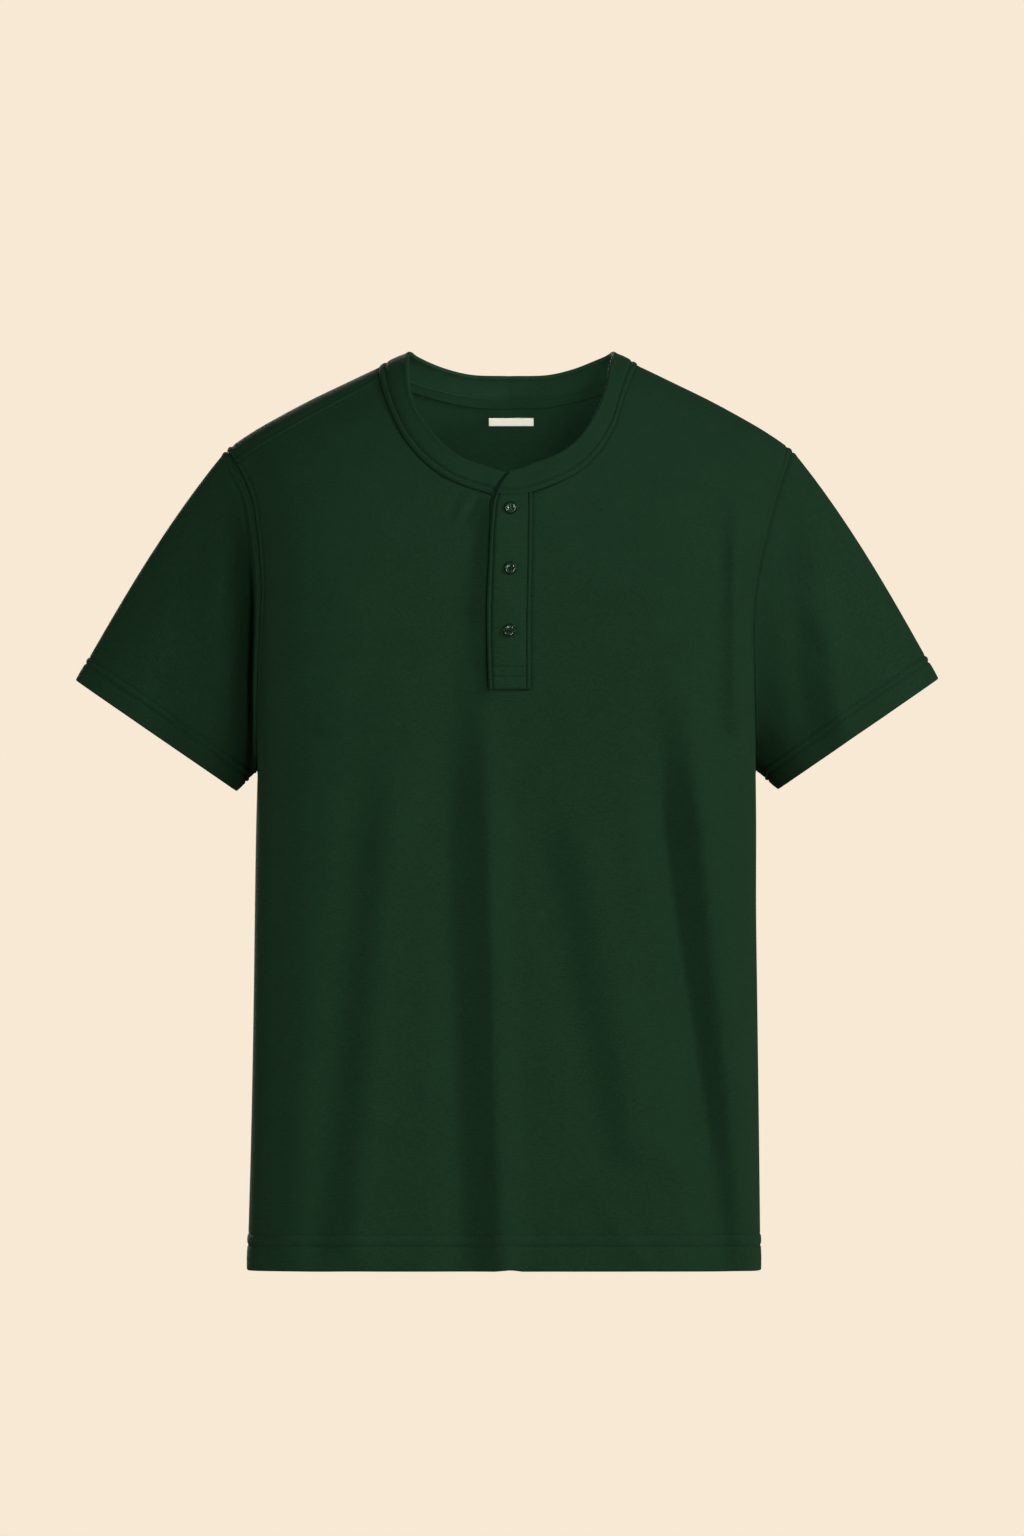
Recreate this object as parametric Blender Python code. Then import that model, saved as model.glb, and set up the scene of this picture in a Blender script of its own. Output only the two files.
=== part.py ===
# Short-sleeved henley shirt, filled out as if worn. Each cut piece of cloth is one thin closed shell.
# Lengths here are millimetres and are turned to metres as each mesh is made. +Z is up and the front faces -Y.
# The origin is the middle of the neck opening, level with the top of the shoulders.
# Left and right are as seen from the front, so left is -X.
import bpy
import bmesh
import numpy as np
from mathutils import Matrix
from mathutils.geometry import delaunay_2d_cdt

# Driving dimensions
hemHeight = -711.0        # lower edge of the body
armpitHeight = -324.0     # lowest point of each armhole
shoulderRoll = 200.0      # drop over which the cloth turns from the shoulder line to upright
squareness = 4.4          # 2 makes the chest an oval, more makes it boxier
clothWall = 1.2           # jersey, with its folds and give
hemWall = 2.2             # where the hem is turned up inside
hemTurn = 26.0            # height of the turned hem on the body
bandWall = 2.4            # doubled cloth of the neckband
stripWall = 2.0           # doubled cloth of the placket
seamGap = 0.4             # between one piece and the next
bandProud = 0.8           # how far the neckband stands out from the panels
slotHalf = 11.0           # half width of the slit in the front panel
slotBottom = -254.0
placketBottom = -262.0
buttonHoleStep = 2.3      # between the middles of neighbouring holes
buttonHoleRadius = 0.62
buttonProfile = [  # radius, height of the front, height of the back; the rim stands above the middle
    (5.1, 1.75, 0.7), (4.75, 2.2, 0.15), (3.7, 2.2, 0.0), (3.3, 1.65, 0.0)]
buttonPlaces = [(0.0, -120.1), (0.0, -166.6), (-0.8, -214.7)]
labelSize = (34.5, 5.8)
labelPlace = (1.6, -54.1)
tapeHeight = 6.8

lowerRows, upperRows = 12, 18      # rows of cells below and above the armpits
shoulderCells, neckCells = 6, 10   # cells along one shoulder seam and along half the front of the neck
backNeckCells = 18
sleeveRows = [0, 0.05, 0.1, 0.16, 0.24, 0.36, 0.52, 0.68, 0.84, 1]   # shares of the way from armhole to hem
bandRows = 3

# Side seam below the armpits and armhole above them
bodyEdge = [  # height, left, right
    (-711, -202.6, 194.8), (-620, -200.0, 193.8), (-496, -197.6, 192.2), (-434, -196.8, 191.4),
    (-360, -195.6, 191.4), (-324, -194.6, 191.0), (-252, -193.8, 189.4), (-204, -191.9, 189.0),
    (-180, -191.4, 191.4), (-161, -192.6, 195.0), (-138, -195.0, 200.6), (-112, -199.7, 207.8),
    (-93, -208.0, 214.5), (-76, -219.0, 220.0)]
bodyDepth = [  # height, front, back
    (-711, 112, 108), (-600, 110, 101), (-500, 110, 97), (-400, 113, 102), (-314, 117, 111),
    (-250, 120, 117), (-200, 121, 119), (-150, 118, 116), (-110, 115, 112), (-50, 111, 109), (0, 108, 108)]
armholeDepth = [  # height, how far the armhole edge stands from the middle before the shoulder turns it in
    (-324, 0), (-316, 22), (-302, 39), (-281, 52), (-248, 64), (-205, 72), (-150, 73), (-100, 68), (-76, 64)]
shoulderLine = [  # distance from the middle, height of the ridge
    (0, 16), (40, 11), (77.5, -0.6), (102.7, -12.4), (128.6, -24.8), (154.2, -37.2),
    (177.4, -49.6), (198.8, -62), (216.6, -74.4), (232, -88)]
shoulderSeam = [  # distance from the middle, turn past the ridge at the left, at the right; + is to the front
    (98, 66, -25), (145, 74, -22), (218, 82, -18)]

# The neck seam and the top edge of the band, from the middle of the front round to the middle of the back
neckSeam = [  # face, left across, left height, right across, right height
    ("front", 0, -113, 0, -113), ("front", -17, -109.8, 20.2, -109.3), ("front", -35.7, -103.9, 38.8, -102),
    ("front", -51.9, -96.1, 57.4, -90.7), ("front", -67.4, -83.7, 69, -75), ("front", -82.2, -65.1, 80.6, -55.8),
    ("front", -91.5, -46.5, 88.4, -37.2), ("front", -98.4, -27.9, 94, -22.5), ("ridge", -99.8, 0, 99.2, 0),
    ("back", -90, -18.2, 91, -18.0), ("back", -76, -23.6, 78, -23.2), ("back", -58, -29.4, 60, -29.2),
    ("back", -31, -35.3, 33, -35.3), ("back", 0, -37, 0, -37)]
bandTop = [
    ("front", 0, -93.6, 0, -93.6), ("front", -17, -89.1, 20.2, -87), ("front", -35.7, -82.4, 38.8, -79),
    ("front", -51.2, -71.3, 52.7, -68.2), ("front", -62, -58.9, 62, -55.8), ("front", -70.5, -46.5, 69.5, -42),
    ("front", -76, -31, 74.5, -28), ("front", -77.6, -17, 77.2, -13), ("ridge", -75.6, 0, 79.4, 0),
    ("back", -70, -3.6, 73, -3.6), ("back", -62, -7.4, 64, -7.2), ("back", -50, -12, 51.5, -12),
    ("back", -31, -16.6, 33, -16.6), ("back", 0, -17.8, 0, -17.8)]
bandBackDepth = 65.0      # how far behind the ridge the top of the band goes

placketEdge = [  # height, left edge, right edge of the upper strip; its top corner is rounded at the left
    (-262, -16.5, 15.9), (-200, -17.0, 16.2), (-150, -16.3, 16.8), (-128, -15.5, 17.3), (-118, -13.9, 17.5),
    (-107, -10.4, 17.7), (-96, -1.0, 17.9)]

# Largest folds: soft ridges (+) and troughs (-) along a line, front face first
foldLines = [  # face, top across, top height, bottom across, bottom height, half width, rise
    ("front", -48, -215, -36, -770, 17, -6.0), ("front", -19, -240, -2, -770, 13, 6.5),
    ("front", -110, -290, -150, -720, 15, -2.8), ("front", -84, -290, -120, -720, 15, 2.8),
    ("front", 18, -340, 74, -640, 17, -3.2), ("front", 48, -330, 108, -640, 17, 3.6),
    ("front", 106, -250, 166, -740, 16, -6.0), ("front", 138, -240, 198, -740, 14, 8.0),
    ("back", -12, -240, 20, -735, 22, 5.0), ("back", 40, -330, 62, -735, 20, -4.0),
    ("back", -58, -300, -80, -735, 22, -4.4), ("back", -110, -260, -128, -735, 20, 4.2),
    ("back", 104, -280, 132, -720, 20, 4.4), ("back", 0, -86, 0, -190, 34, -3.0)]

# Sleeves: the hem ring is an oval in a slanting plane
sleeveHem = {  # middle across, middle height, half length along the slant, half depth
    "left": (-273.6, -297.4, 75.3, 47.0), "right": (270.8, -296.1, 75.0, 47.0)}
sleeveSlant = (0.823, -0.568)      # across (towards the body) and height of the hem's long way
sleeveCrest = 5.0                  # how far the top of the sleeve bows out between shoulder and hem
creases = [  # beside the armhole: side, place round from the top, reach round, falls within, fades over, depth
    ("left", 0.64, 0.38, 8.0, 30.0, 25.0), ("right", 0.62, 0.34, 12.0, 40.0, 7.0),
    ("left", 1.42, 0.32, 10.0, 32.0, 11.0), ("right", 1.42, 0.32, 10.0, 32.0, 11.0)]
sleeveFolds = [  # side, place round from the top, reach round, middle and half length along, rise
    ("left", 0.36, 0.09, 0.45, 0.40, 3.4), ("right", 0.36, 0.07, 0.45, 0.40, 3.0),
    ("right", 0.28, 0.06, 0.50, 0.35, -1.2), ("left", 1.42, 0.10, 0.45, 0.40, 4.2),
    ("right", 1.60, 0.10, 0.45, 0.40, 4.0), ("left", 1.60, 0.08, 0.55, 0.35, -3.0)]

colours = {  # name: colour, roughness
    "jersey": ((0.013, 0.036, 0.016), 0.85), "neckband": ((0.013, 0.036, 0.016), 0.85),
    "placket": ((0.014, 0.037, 0.017), 0.82), "tape": ((0.012, 0.033, 0.015), 0.80),
    "label": ((0.78, 0.73, 0.60), 0.70), "button": ((0.010, 0.030, 0.014), 0.25)}


def curve(table, column, at):
    # A smooth line through one column of a table, held level past its ends
    rows = sorted(table)
    knots = np.array([row[0] for row in rows], float)
    values = np.array([row[column] for row in rows], float)
    slopes = np.gradient(values, knots)
    at = np.clip(at, knots[0], knots[-1])
    i = np.clip(np.searchsorted(knots, at, side="right") - 1, 0, len(knots) - 2)
    h = knots[i + 1] - knots[i]
    t = (at - knots[i]) / h
    return ((2 * t**3 - 3 * t**2 + 1) * values[i] + (t**3 - 2 * t**2 + t) * h * slopes[i]
            + (3 * t**2 - 2 * t**3) * values[i + 1] + (t**3 - t**2) * h * slopes[i + 1])


def ease(low, high, at):
    t = np.clip((at - low) / (high - low), 0, 1)
    return t * t * (3 - 2 * t)


def ridge(x):
    # The shoulder line leans a little to the right near the neck
    return curve(shoulderLine, 1, np.abs(x - 1.7 * np.clip(1 - np.abs(x) / 215, 0, 1)))


def drop(turn):
    # Height lost after a turn past the ridge; the turn is a length along the cloth
    a = np.abs(turn) / shoulderRoll
    return np.where(a < np.pi / 2, shoulderRoll * (1 - np.cos(a)), np.abs(turn) - shoulderRoll * (np.pi / 2 - 1))


def turnTo(x, z):
    d = ridge(x) - z
    return np.where(d < shoulderRoll, shoulderRoll * np.arccos(np.clip(1 - d / shoulderRoll, -1, 1)),
                    d + shoulderRoll * (np.pi / 2 - 1))


def halfWidth(x, z):
    return np.where(x < 0, -curve(bodyEdge, 1, z), curve(bodyEdge, 2, z))


def folds(x, z, isFront):
    total = np.zeros(np.broadcast(x, z).shape)
    for face, x0, z0, x1, z1, half, rise in foldLines:
        along = (z0 - z) / (z0 - z1)
        across = x - (x0 + (x1 - x0) * along)
        shape = rise * np.exp(-(across / half) ** 2) * ease(0, 0.25, along) * ease(1.0, 0.93, along)
        total += np.where(isFront == (face == "front"), shape, 0)
    return total * ease(0, 22, halfWidth(x, z) - np.abs(x))


def cloth(x, turn):
    # A point of the outer cloth: across, and the turn past the shoulder ridge (+ to the front, - to the back)
    x, turn = np.broadcast_arrays(np.asarray(x, float), np.asarray(turn, float))
    z = ridge(x) - drop(turn)
    isFront = turn >= 0
    full = np.where(isFront, curve(bodyDepth, 1, z), curve(bodyDepth, 2, z))
    edge = curve(armholeDepth, 1, z)
    wide = halfWidth(x, z) / (1 - (edge / full) ** squareness) ** (1 / squareness)
    depth = full * (1 - np.clip(np.abs(x) / wide, 0, 1) ** squareness) ** (1 / squareness)
    rolled = np.sin(np.clip(np.abs(turn) / shoulderRoll, 0, np.pi / 2))
    y = np.where(isFront, -1, 1) * (depth * rolled + folds(x, z, isFront))
    return np.stack([x, y, z], axis=-1)


def clothNormal(x, turn):
    across = cloth(x + 1.0, turn) - cloth(x - 1.0, turn)
    down = cloth(x, turn + 1.0) - cloth(x, turn - 1.0)
    normal = np.cross(across, down)
    return -normal / np.linalg.norm(normal, axis=-1, keepdims=True)


def clothOut(x, turn, out):
    # The same point, moved out along the cloth's own normal
    return cloth(x, turn) + clothNormal(x, turn) * np.asarray(out)[..., None]


def normals(grid, middle):
    across, along = np.gradient(grid, axis=1), np.gradient(grid, axis=0)
    n = np.cross(across, along)
    n /= np.linalg.norm(n, axis=-1, keepdims=True)
    return n * np.sign(np.sum(n * (grid - np.asarray(middle, float))))


def material(name):
    m = bpy.data.materials.get(name) or bpy.data.materials.new(name)
    m.use_nodes = True
    node = m.node_tree.nodes["Principled BSDF"]
    colour, rough = colours[name]
    node.inputs["Base Color"].default_value = (*colour, 1)
    node.inputs["Roughness"].default_value = rough
    m.diffuse_color = (*colour, 1)
    return m


def closedMesh(name, points, faces, slot):
    mesh = bpy.data.meshes.new(name)
    mesh.from_pydata([tuple(float(c) / 1000 for c in p) for p in points], [], faces)
    shape = bmesh.new()
    shape.from_mesh(mesh)
    bmesh.ops.remove_doubles(shape, verts=shape.verts, dist=1e-7)
    bmesh.ops.recalc_face_normals(shape, faces=shape.faces)
    bmesh.ops.triangulate(shape, faces=shape.faces)
    shape.to_mesh(mesh)
    shape.free()
    mesh.shade_smooth()
    mesh.set_sharp_from_angle(angle=np.radians(50))
    mesh.materials.append(material(slot))
    return mesh


def place(name, mesh, location, rotation=None):
    obj = bpy.data.objects.new(name, mesh)
    bpy.context.scene.collection.objects.link(obj)
    obj.parent = henley
    obj.location = [float(c) / 1000 for c in location]
    if rotation is not None:
        obj.rotation_euler = rotation
    return obj


def shell(name, outer, inner, slot, keep=None, ring=False):
    # Closes two grids of points into one thin shell; cells left out of keep are holes, and a ring has no side edges
    rows, columns = outer.shape[:2]
    cells = columns if ring else columns - 1
    keep = np.ones((rows - 1, cells), bool) if keep is None else keep
    count, faces = rows * columns, []
    at = lambda i, j, side: side * count + i * columns + j % columns
    kept = lambda i, j: 0 <= i < rows - 1 and (ring or 0 <= j < cells) and keep[i, j % cells]
    for i in range(rows - 1):
        for j in range(cells):
            if not keep[i, j]:
                continue
            corners = [(i, j), (i, j + 1), (i + 1, j + 1), (i + 1, j)]
            faces.append([at(*c, 0) for c in corners])
            faces.append([at(*c, 1) for c in reversed(corners)])
            beside = [(i - 1, j), (i, j + 1), (i + 1, j), (i, j - 1)]
            for k, cell in enumerate(beside):
                if not kept(*cell):
                    a, b = corners[k], corners[(k + 1) % 4]
                    faces.append([at(*a, 0), at(*a, 1), at(*b, 1), at(*b, 0)])
    points = np.concatenate([outer.reshape(-1, 3), inner.reshape(-1, 3)])
    used = sorted({v for f in faces for v in f})
    number = {v: k for k, v in enumerate(used)}
    points = points[used]
    middle = (points.min(axis=0) + points.max(axis=0)) / 2
    place(name, closedMesh(name, points - middle, [[number[v] for v in f] for f in faces], slot), middle)


def ringOf(table):
    # A neck table as one run of (face, across, height): back middle, left, front middle, right, back middle
    left = [(row[0], row[1], row[2]) for row in table]
    right = [(row[0], row[3], row[4]) for row in table]
    return [(face, float(x), float(z)) for face, x, z in left[::-1] + right[1:]]


def neckRing():
    points = []
    for face, x, z in ringOf(neckSeam):
        turn = 0.0 if face == "ridge" else float(turnTo(np.array(x), z)) * (1 if face == "front" else -1)
        points.append((x, turn))
    points = np.array(points)
    places = cloth(points[:, 0], points[:, 1])
    along = np.concatenate([[0], np.cumsum(np.linalg.norm(np.diff(places, axis=0), axis=1))])
    return along, points


def topRing():
    places = []
    for face, x, z in ringOf(bandTop):
        if face == "front":
            place = cloth(np.array(x), turnTo(np.array(x), z)) + np.array([0, 1.5, 0])
        elif face == "ridge":
            place = np.array([x, 0, -0.5])
        else:
            place = np.array([x, bandBackDepth * (1 - (abs(x - 1.8) / 78) ** 2.2) ** (1 / 2.2), z])
        places.append(place)
    places = np.array(places)
    along = np.concatenate([[0], np.cumsum(np.linalg.norm(np.diff(places, axis=0), axis=1))])
    return along, places


neckAlong, neckPoints = neckRing()
topAlong, topPoints = topRing()
quarter = len(neckSeam) - 1                      # knots from the back middle to the front middle
ridgeKnot = next(i for i, row in enumerate(neckSeam) if row[0] == "ridge")
mainKnots = [0, quarter - ridgeKnot, quarter, quarter + ridgeKnot, 2 * quarter]


def neckAt(s):
    x = curve([(a, p[0]) for a, p in zip(neckAlong, neckPoints)], 1, s)
    turn = curve([(a, p[1]) for a, p in zip(neckAlong, neckPoints)], 1, s)
    return x, turn


def topAt(s):
    # The top of the band beside the same place of the neck seam
    t = np.interp(s, neckAlong[mainKnots], topAlong[mainKnots])
    return np.stack([curve([(a, p[k]) for a, p in zip(topAlong, topPoints)], 1, t) for k in range(3)], axis=-1)


def find(test):
    # Where along the neck seam a measure crosses zero
    s = np.linspace(0, neckAlong[-1], 4001)
    x, turn = neckAt(s)
    return s[np.argmin(np.abs(test(x, turn)))]


far = 1e3
cornerLeft = find(lambda x, turn: turn - 66 + far * (x > 0))
cornerRight = find(lambda x, turn: turn + 25 + far * (x < 0))
slotLeft = find(lambda x, turn: x + slotHalf + far * (turn < 0))
slotRight = find(lambda x, turn: x - slotHalf + far * (turn < 0))
frontLeft = np.linspace(cornerLeft, slotLeft, neckCells + 1)
frontRight = np.linspace(slotRight, cornerRight, neckCells + 1)
backLeft = np.linspace(cornerLeft, 0, backNeckCells // 2 + 1)
backRight = np.linspace(neckAlong[-1], cornerRight, backNeckCells // 2 + 1)


def armholeX(side, turn):
    # Where the armhole edge crosses a turn past the ridge
    x = side * 200.0
    for _ in range(8):
        x = side * halfWidth(side, ridge(x) - drop(turn))
    return float(x)


def seamTurn(x):
    return np.where(x < 0, curve(shoulderSeam, 1, np.abs(x)), curve(shoulderSeam, 2, np.abs(x)))


def topEdge(stations, isFront):
    # The top of a panel: left shoulder seam, neck, right shoulder seam, as (across, turn)
    shift = (1 if isFront else -1) * 0.8
    neckX, neckTurn = neckAt(np.array(stations))
    edges = []
    for side, start in ((-1, neckX[0]), (1, neckX[-1])):
        end = armholeX(side, shoulderSeam[-1][1 if side < 0 else 2])
        xs = np.linspace(start, end, shoulderCells + 1)
        edges.append((xs, seamTurn(xs)))
    (leftX, leftTurn), (rightX, rightTurn) = edges
    neckTurn[0], neckTurn[-1] = leftTurn[0], rightTurn[0]
    x = np.concatenate([leftX[:0:-1], neckX, rightX[1:]])
    turn = np.concatenate([leftTurn[:0:-1], neckTurn, rightTurn[1:]])
    turn[:shoulderCells + 1] += shift
    turn[-shoulderCells - 1:] += shift
    return x, turn


def panelGrid(shares, stations, isFront):
    sign = 1 if isFront else -1
    x, turn, rows = [], [], []
    heights = np.concatenate([[hemHeight, hemHeight + hemTurn],
                              np.linspace(hemHeight + hemTurn, armpitHeight, lowerRows)[1:]])
    for z in heights:
        across = shares * halfWidth(shares, z)
        x.append(across)
        turn.append(sign * turnTo(across, z))
    topX, topTurn = topEdge(stations, isFront)
    endX, endTurn = topX[[0, -1]], topTurn[[0, -1]]
    lowTurn = turn[-1]
    for k in range(1, upperRows + 1):
        w = (k / upperRows) ** 1.2
        edgeTurn = lowTurn[[0, -1]] * (1 - w) + endTurn * w
        edgeX = armholeX(-1, edgeTurn[0]), armholeX(1, edgeTurn[1])
        wide = np.where(shares < 0, -edgeX[0], edgeX[1])
        topShare = topX / np.where(shares < 0, -endX[0], endX[1])
        x.append(wide * (shares * (1 - w) + topShare * w))
        turn.append(lowTurn * (1 - w) + topTurn * w)
    x, turn = np.array(x), np.array(turn)
    grid = cloth(x, turn)
    grid[..., 1] -= sign * 0.25 * ease(40, 0, np.abs(grid[..., 1]))      # opens the side seams
    nearSide = ease(0.80, 0.93, np.abs(x) / halfWidth(x, grid[..., 2]))[..., None]
    nearSide[len(heights) + 1:] = 0
    n = normals(grid, (0, 0, -350)) * nearSide + clothNormal(x, turn) * (1 - nearSide)
    wall = np.full(x.shape, clothWall)
    wall[:2] = hemWall
    inner = grid - n / np.linalg.norm(n, axis=-1, keepdims=True) * wall[..., None]
    return (grid, inner), len(heights) - 1


def panels():
    u = np.linspace(2 / np.pi * np.arcsin(slotHalf / 192), 1, shoulderCells + neckCells + 1)
    half = np.sin(np.pi / 2 * u)
    middle = (slotLeft + slotRight) / 2
    frontShares = np.concatenate([-half[::-1], [0], half])
    frontStations = np.concatenate([frontLeft, [middle], frontRight])
    backShares = np.sin(np.pi / 2 * np.linspace(-1, 1, 2 * shoulderCells + backNeckCells + 1))
    backStations = np.concatenate([backLeft[:-1], [neckAlong[-1]], backRight[1:]])
    front, armpitRow = panelGrid(frontShares, frontStations, True)
    back, _ = panelGrid(backShares, backStations, False)
    result = {"front": front, "back": back}
    keep = np.ones((front[0].shape[0] - 1, front[0].shape[1] - 1), bool)
    inSlot = front[0][:-1, len(half), 2] > slotBottom - 1
    keep[np.flatnonzero(inSlot)[:, None], [len(half) - 1, len(half)]] = False
    shell("front", *result["front"], "jersey", keep)
    shell("back", *result["back"], "jersey")
    return result, armpitRow


def armholeRing(result, armpitRow, column):
    # Up the front edge and down the back edge, outer and inner points
    rings = []
    for layer in (0, 1):
        up = result["front"][layer][armpitRow:, column]
        down = result["back"][layer][armpitRow:, column][::-1]
        rings.append(np.concatenate([up, down[1:-1]]))
    return rings


def sleeve(side, result, armpitRow):
    outerRing, innerRing = armholeRing(result, armpitRow, 0 if side == "left" else -1)
    sign = -1 if side == "left" else 1
    follow = np.roll(outerRing, -1, axis=0) - np.roll(outerRing, 1, axis=0)
    beyond = np.cross(follow, outerRing - innerRing)      # the way the panels would have gone on
    beyond /= np.linalg.norm(beyond, axis=-1, keepdims=True)
    beyond *= sign * np.sign(np.sum(beyond[:, 0]))
    x, z, halfLong, halfDeep = sleeveHem[side]
    towards = np.array([-sign * sleeveSlant[0], 0, sleeveSlant[1]])
    away = np.array([sign * -sleeveSlant[1], 0, -sleeveSlant[0]])     # the way the sleeve runs, down and out
    topOut = -towards
    steps = np.linalg.norm(np.diff(np.concatenate([outerRing, outerRing[:1]]), axis=0), axis=1)
    s = np.concatenate([[0], np.cumsum(steps)])
    top = s[np.argmax(outerRing[:, 2] + 0.5 * sign * outerRing[:, 0])]
    # place round the ring: 0 at the top, 0.5 the front, 1 the armpit, 1.5 the back
    around = np.where(s[:-1] <= top, 1 - s[:-1] / top, 1 + (s[-1] - s[:-1]) / (s[-1] - top))
    theta = around * np.pi
    frontness = np.sin(theta)
    squash = lambda v: np.sign(v) * np.abs(v) ** 0.92
    hem = (np.array([x, 0, z]) + np.outer(-np.cos(theta) * halfLong, towards)
           + np.outer(-squash(frontness) * halfDeep, [0, 1, 0]))
    grid = []
    for t in sleeveRows:
        start = outerRing + beyond * (seamGap + 0.1)
        row = start * (1 - t) + hem * t
        row = row + np.outer(sleeveCrest * np.sin(np.pi * t**0.8) * np.clip(np.cos(theta), 0, 1) ** 2, topOut)
        past = t * np.linalg.norm(hem - start, axis=1)
        for which, mid, reach, falls, fades, depth in creases:
            if which == side:
                bump = (depth * np.exp(-((around - mid) / reach) ** 2) * (1 - np.exp(-((past / falls) ** 1.3)))
                        * np.exp(-((past / fades) ** 2)))
                room = 0.7 * np.abs(row[:, 1]) + 1e-6      # a crease never reaches the middle of the sleeve
                row[:, 1] += room * np.tanh(bump / room) * np.sign(1 - around)
        for which, mid, reach, centre, span, rise in sleeveFolds:
            if which == side:
                bump = rise * np.exp(-((around - mid) / reach) ** 2) * np.exp(-((t - centre) / span) ** 2) * ease(0, 0.3, t)
                row[:, 1] -= bump * np.sign(1 - around)
        grid.append(row)
    grid = np.array(grid)
    closed = np.concatenate([grid[:, -1:], grid, grid[:, :1]], axis=1)
    n = normals(closed, (x * 0.9, 0, z + 60))[:, 1:-1]
    wall = np.full(grid.shape[:2], clothWall)
    wall[-2:] = hemWall
    inner = grid - n * wall[..., None]
    nearArmpit = ease(0.45, 0.75, 1 - np.abs(around - 1))[:, None]
    inner[0] = inner[0] * nearArmpit + (innerRing + beyond * (seamGap + 0.1)) * (1 - nearArmpit)
    shell("sleeve_" + side, grid, inner, "jersey", ring=True)


def neckband():
    # One open strip: its left end runs beneath, and its right end laps over with a slanting end
    s0 = neckAlong[quarter]
    under = np.concatenate([[s0 + 8, s0 + 1, s0 - 6], frontLeft[::-1], backLeft[1:]])
    over = np.concatenate([backRight[1:], frontRight[-2::-1], [s0 + 4, s0 - 4, s0 - 11.5]])
    stations = np.concatenate([under, over])
    branch = np.array([0] * len(under) + [1] * len(over))
    x, turn = neckAt(stations)
    topShift = np.zeros(len(stations))
    topShift[-3:] = (2.0, 7.0, 13.0)
    low, high = cloth(x, turn), topAt(stations + topShift)
    atFront = turn > 30
    lift = np.full(len(stations), bandProud)
    near = np.abs(x)
    lift = np.where((branch == 0) & atFront, bandProud * ease(18, 55, near), lift)
    over = (bandWall + seamGap + 0.1) * (1 - ease(18, 60, near)) + bandProud * ease(18, 60, near)
    lift = np.where((branch == 1) & atFront, np.where(x < 18, bandWall + seamGap + 0.1, over), lift)
    shares = np.linspace(0, 1, bandRows + 1)
    up = (high - low) / np.linalg.norm(high - low, axis=-1, keepdims=True)
    low = low + up * seamGap
    grid = np.array([low * (1 - v) + high * v for v in shares])
    n = normals(grid, (0, -15, -60))
    atSeam = clothNormal(x, turn)
    for row, share in enumerate((1.0, 0.35)):
        n[row] = n[row] * (1 - share) + atSeam * share
    n /= np.linalg.norm(n, axis=-1, keepdims=True)
    bulge = 0.9 * np.sin(np.pi * shares)
    outer = grid + n * (lift[None, :, None] + bulge[:, None, None])
    shell("neckband", outer, outer - n * bandWall, "neckband")


def neckHeight(x):
    # Height of the front of the neck seam at a place across, near the middle
    s = np.linspace(slotLeft - 30, slotRight + 30, 200)
    xs, turns = neckAt(s)
    return np.interp(x, xs, cloth(xs, turns)[:, 2])


def strip(name, left, right, bottom, top, out, wall, slot, cells, turnSign=1):
    # A strip that lies on the cloth; left, right and top are functions of height or of place across
    grid = []
    for r in np.linspace(0, 1, cells[0] + 1):
        row = []
        for c in np.linspace(0, 1, cells[1] + 1):
            x = 0.0
            for _ in range(5):
                z = bottom(x) * (1 - r) + top(x) * r
                x = float(left(z) * (1 - c) + right(z) * c)
            row.append((x, turnSign * float(turnTo(np.array(x), z))))
        grid.append(row)
    grid = np.array(grid)
    outer = clothOut(grid[..., 0], grid[..., 1], np.full(grid.shape[:2], out))
    inner = clothOut(grid[..., 0], grid[..., 1], np.full(grid.shape[:2], out - wall))
    shell(name, outer, inner, slot)


def placket():
    edge = lambda column: (lambda z: curve(placketEdge, column, z))
    upperTop = lambda x: float(neckHeight(x)) - seamGap
    strip("placket_upper", edge(1), edge(2), lambda x: placketBottom, upperTop,
          seamGap + stripWall, stripWall, "placket", (14, 4))
    strip("placket_lower", lambda z: -14.5, lambda z: 14.0, lambda x: slotBottom - 3, upperTop,
          -clothWall - seamGap, 1.6, "placket", (12, 4))


def neckInside():
    s = np.linspace(0, neckAlong[-1], 2001)
    x, turn = neckAt(s)
    back = turn < -5
    order = np.argsort(x[back])
    places = cloth(x[back], turn[back])[order]
    seam = lambda v: float(np.interp(v, places[:, 0], places[:, 2]))
    strip("neck_tape", lambda z: -82.0, lambda z: 84.0, lambda v: seam(v) + 1.4 - tapeHeight,
          lambda v: seam(v) + 1.4, -clothWall - seamGap - 0.5, 0.9, "tape", (2, 22), -1)
    wide, tall = labelSize
    midX, midZ = labelPlace
    strip("neck_label", lambda z: midX - wide / 2, lambda z: midX + wide / 2, lambda v: midZ - tall / 2,
          lambda v: midZ + tall / 2, -clothWall - seamGap, 1.0, "label", (2, 6), -1)


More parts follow.
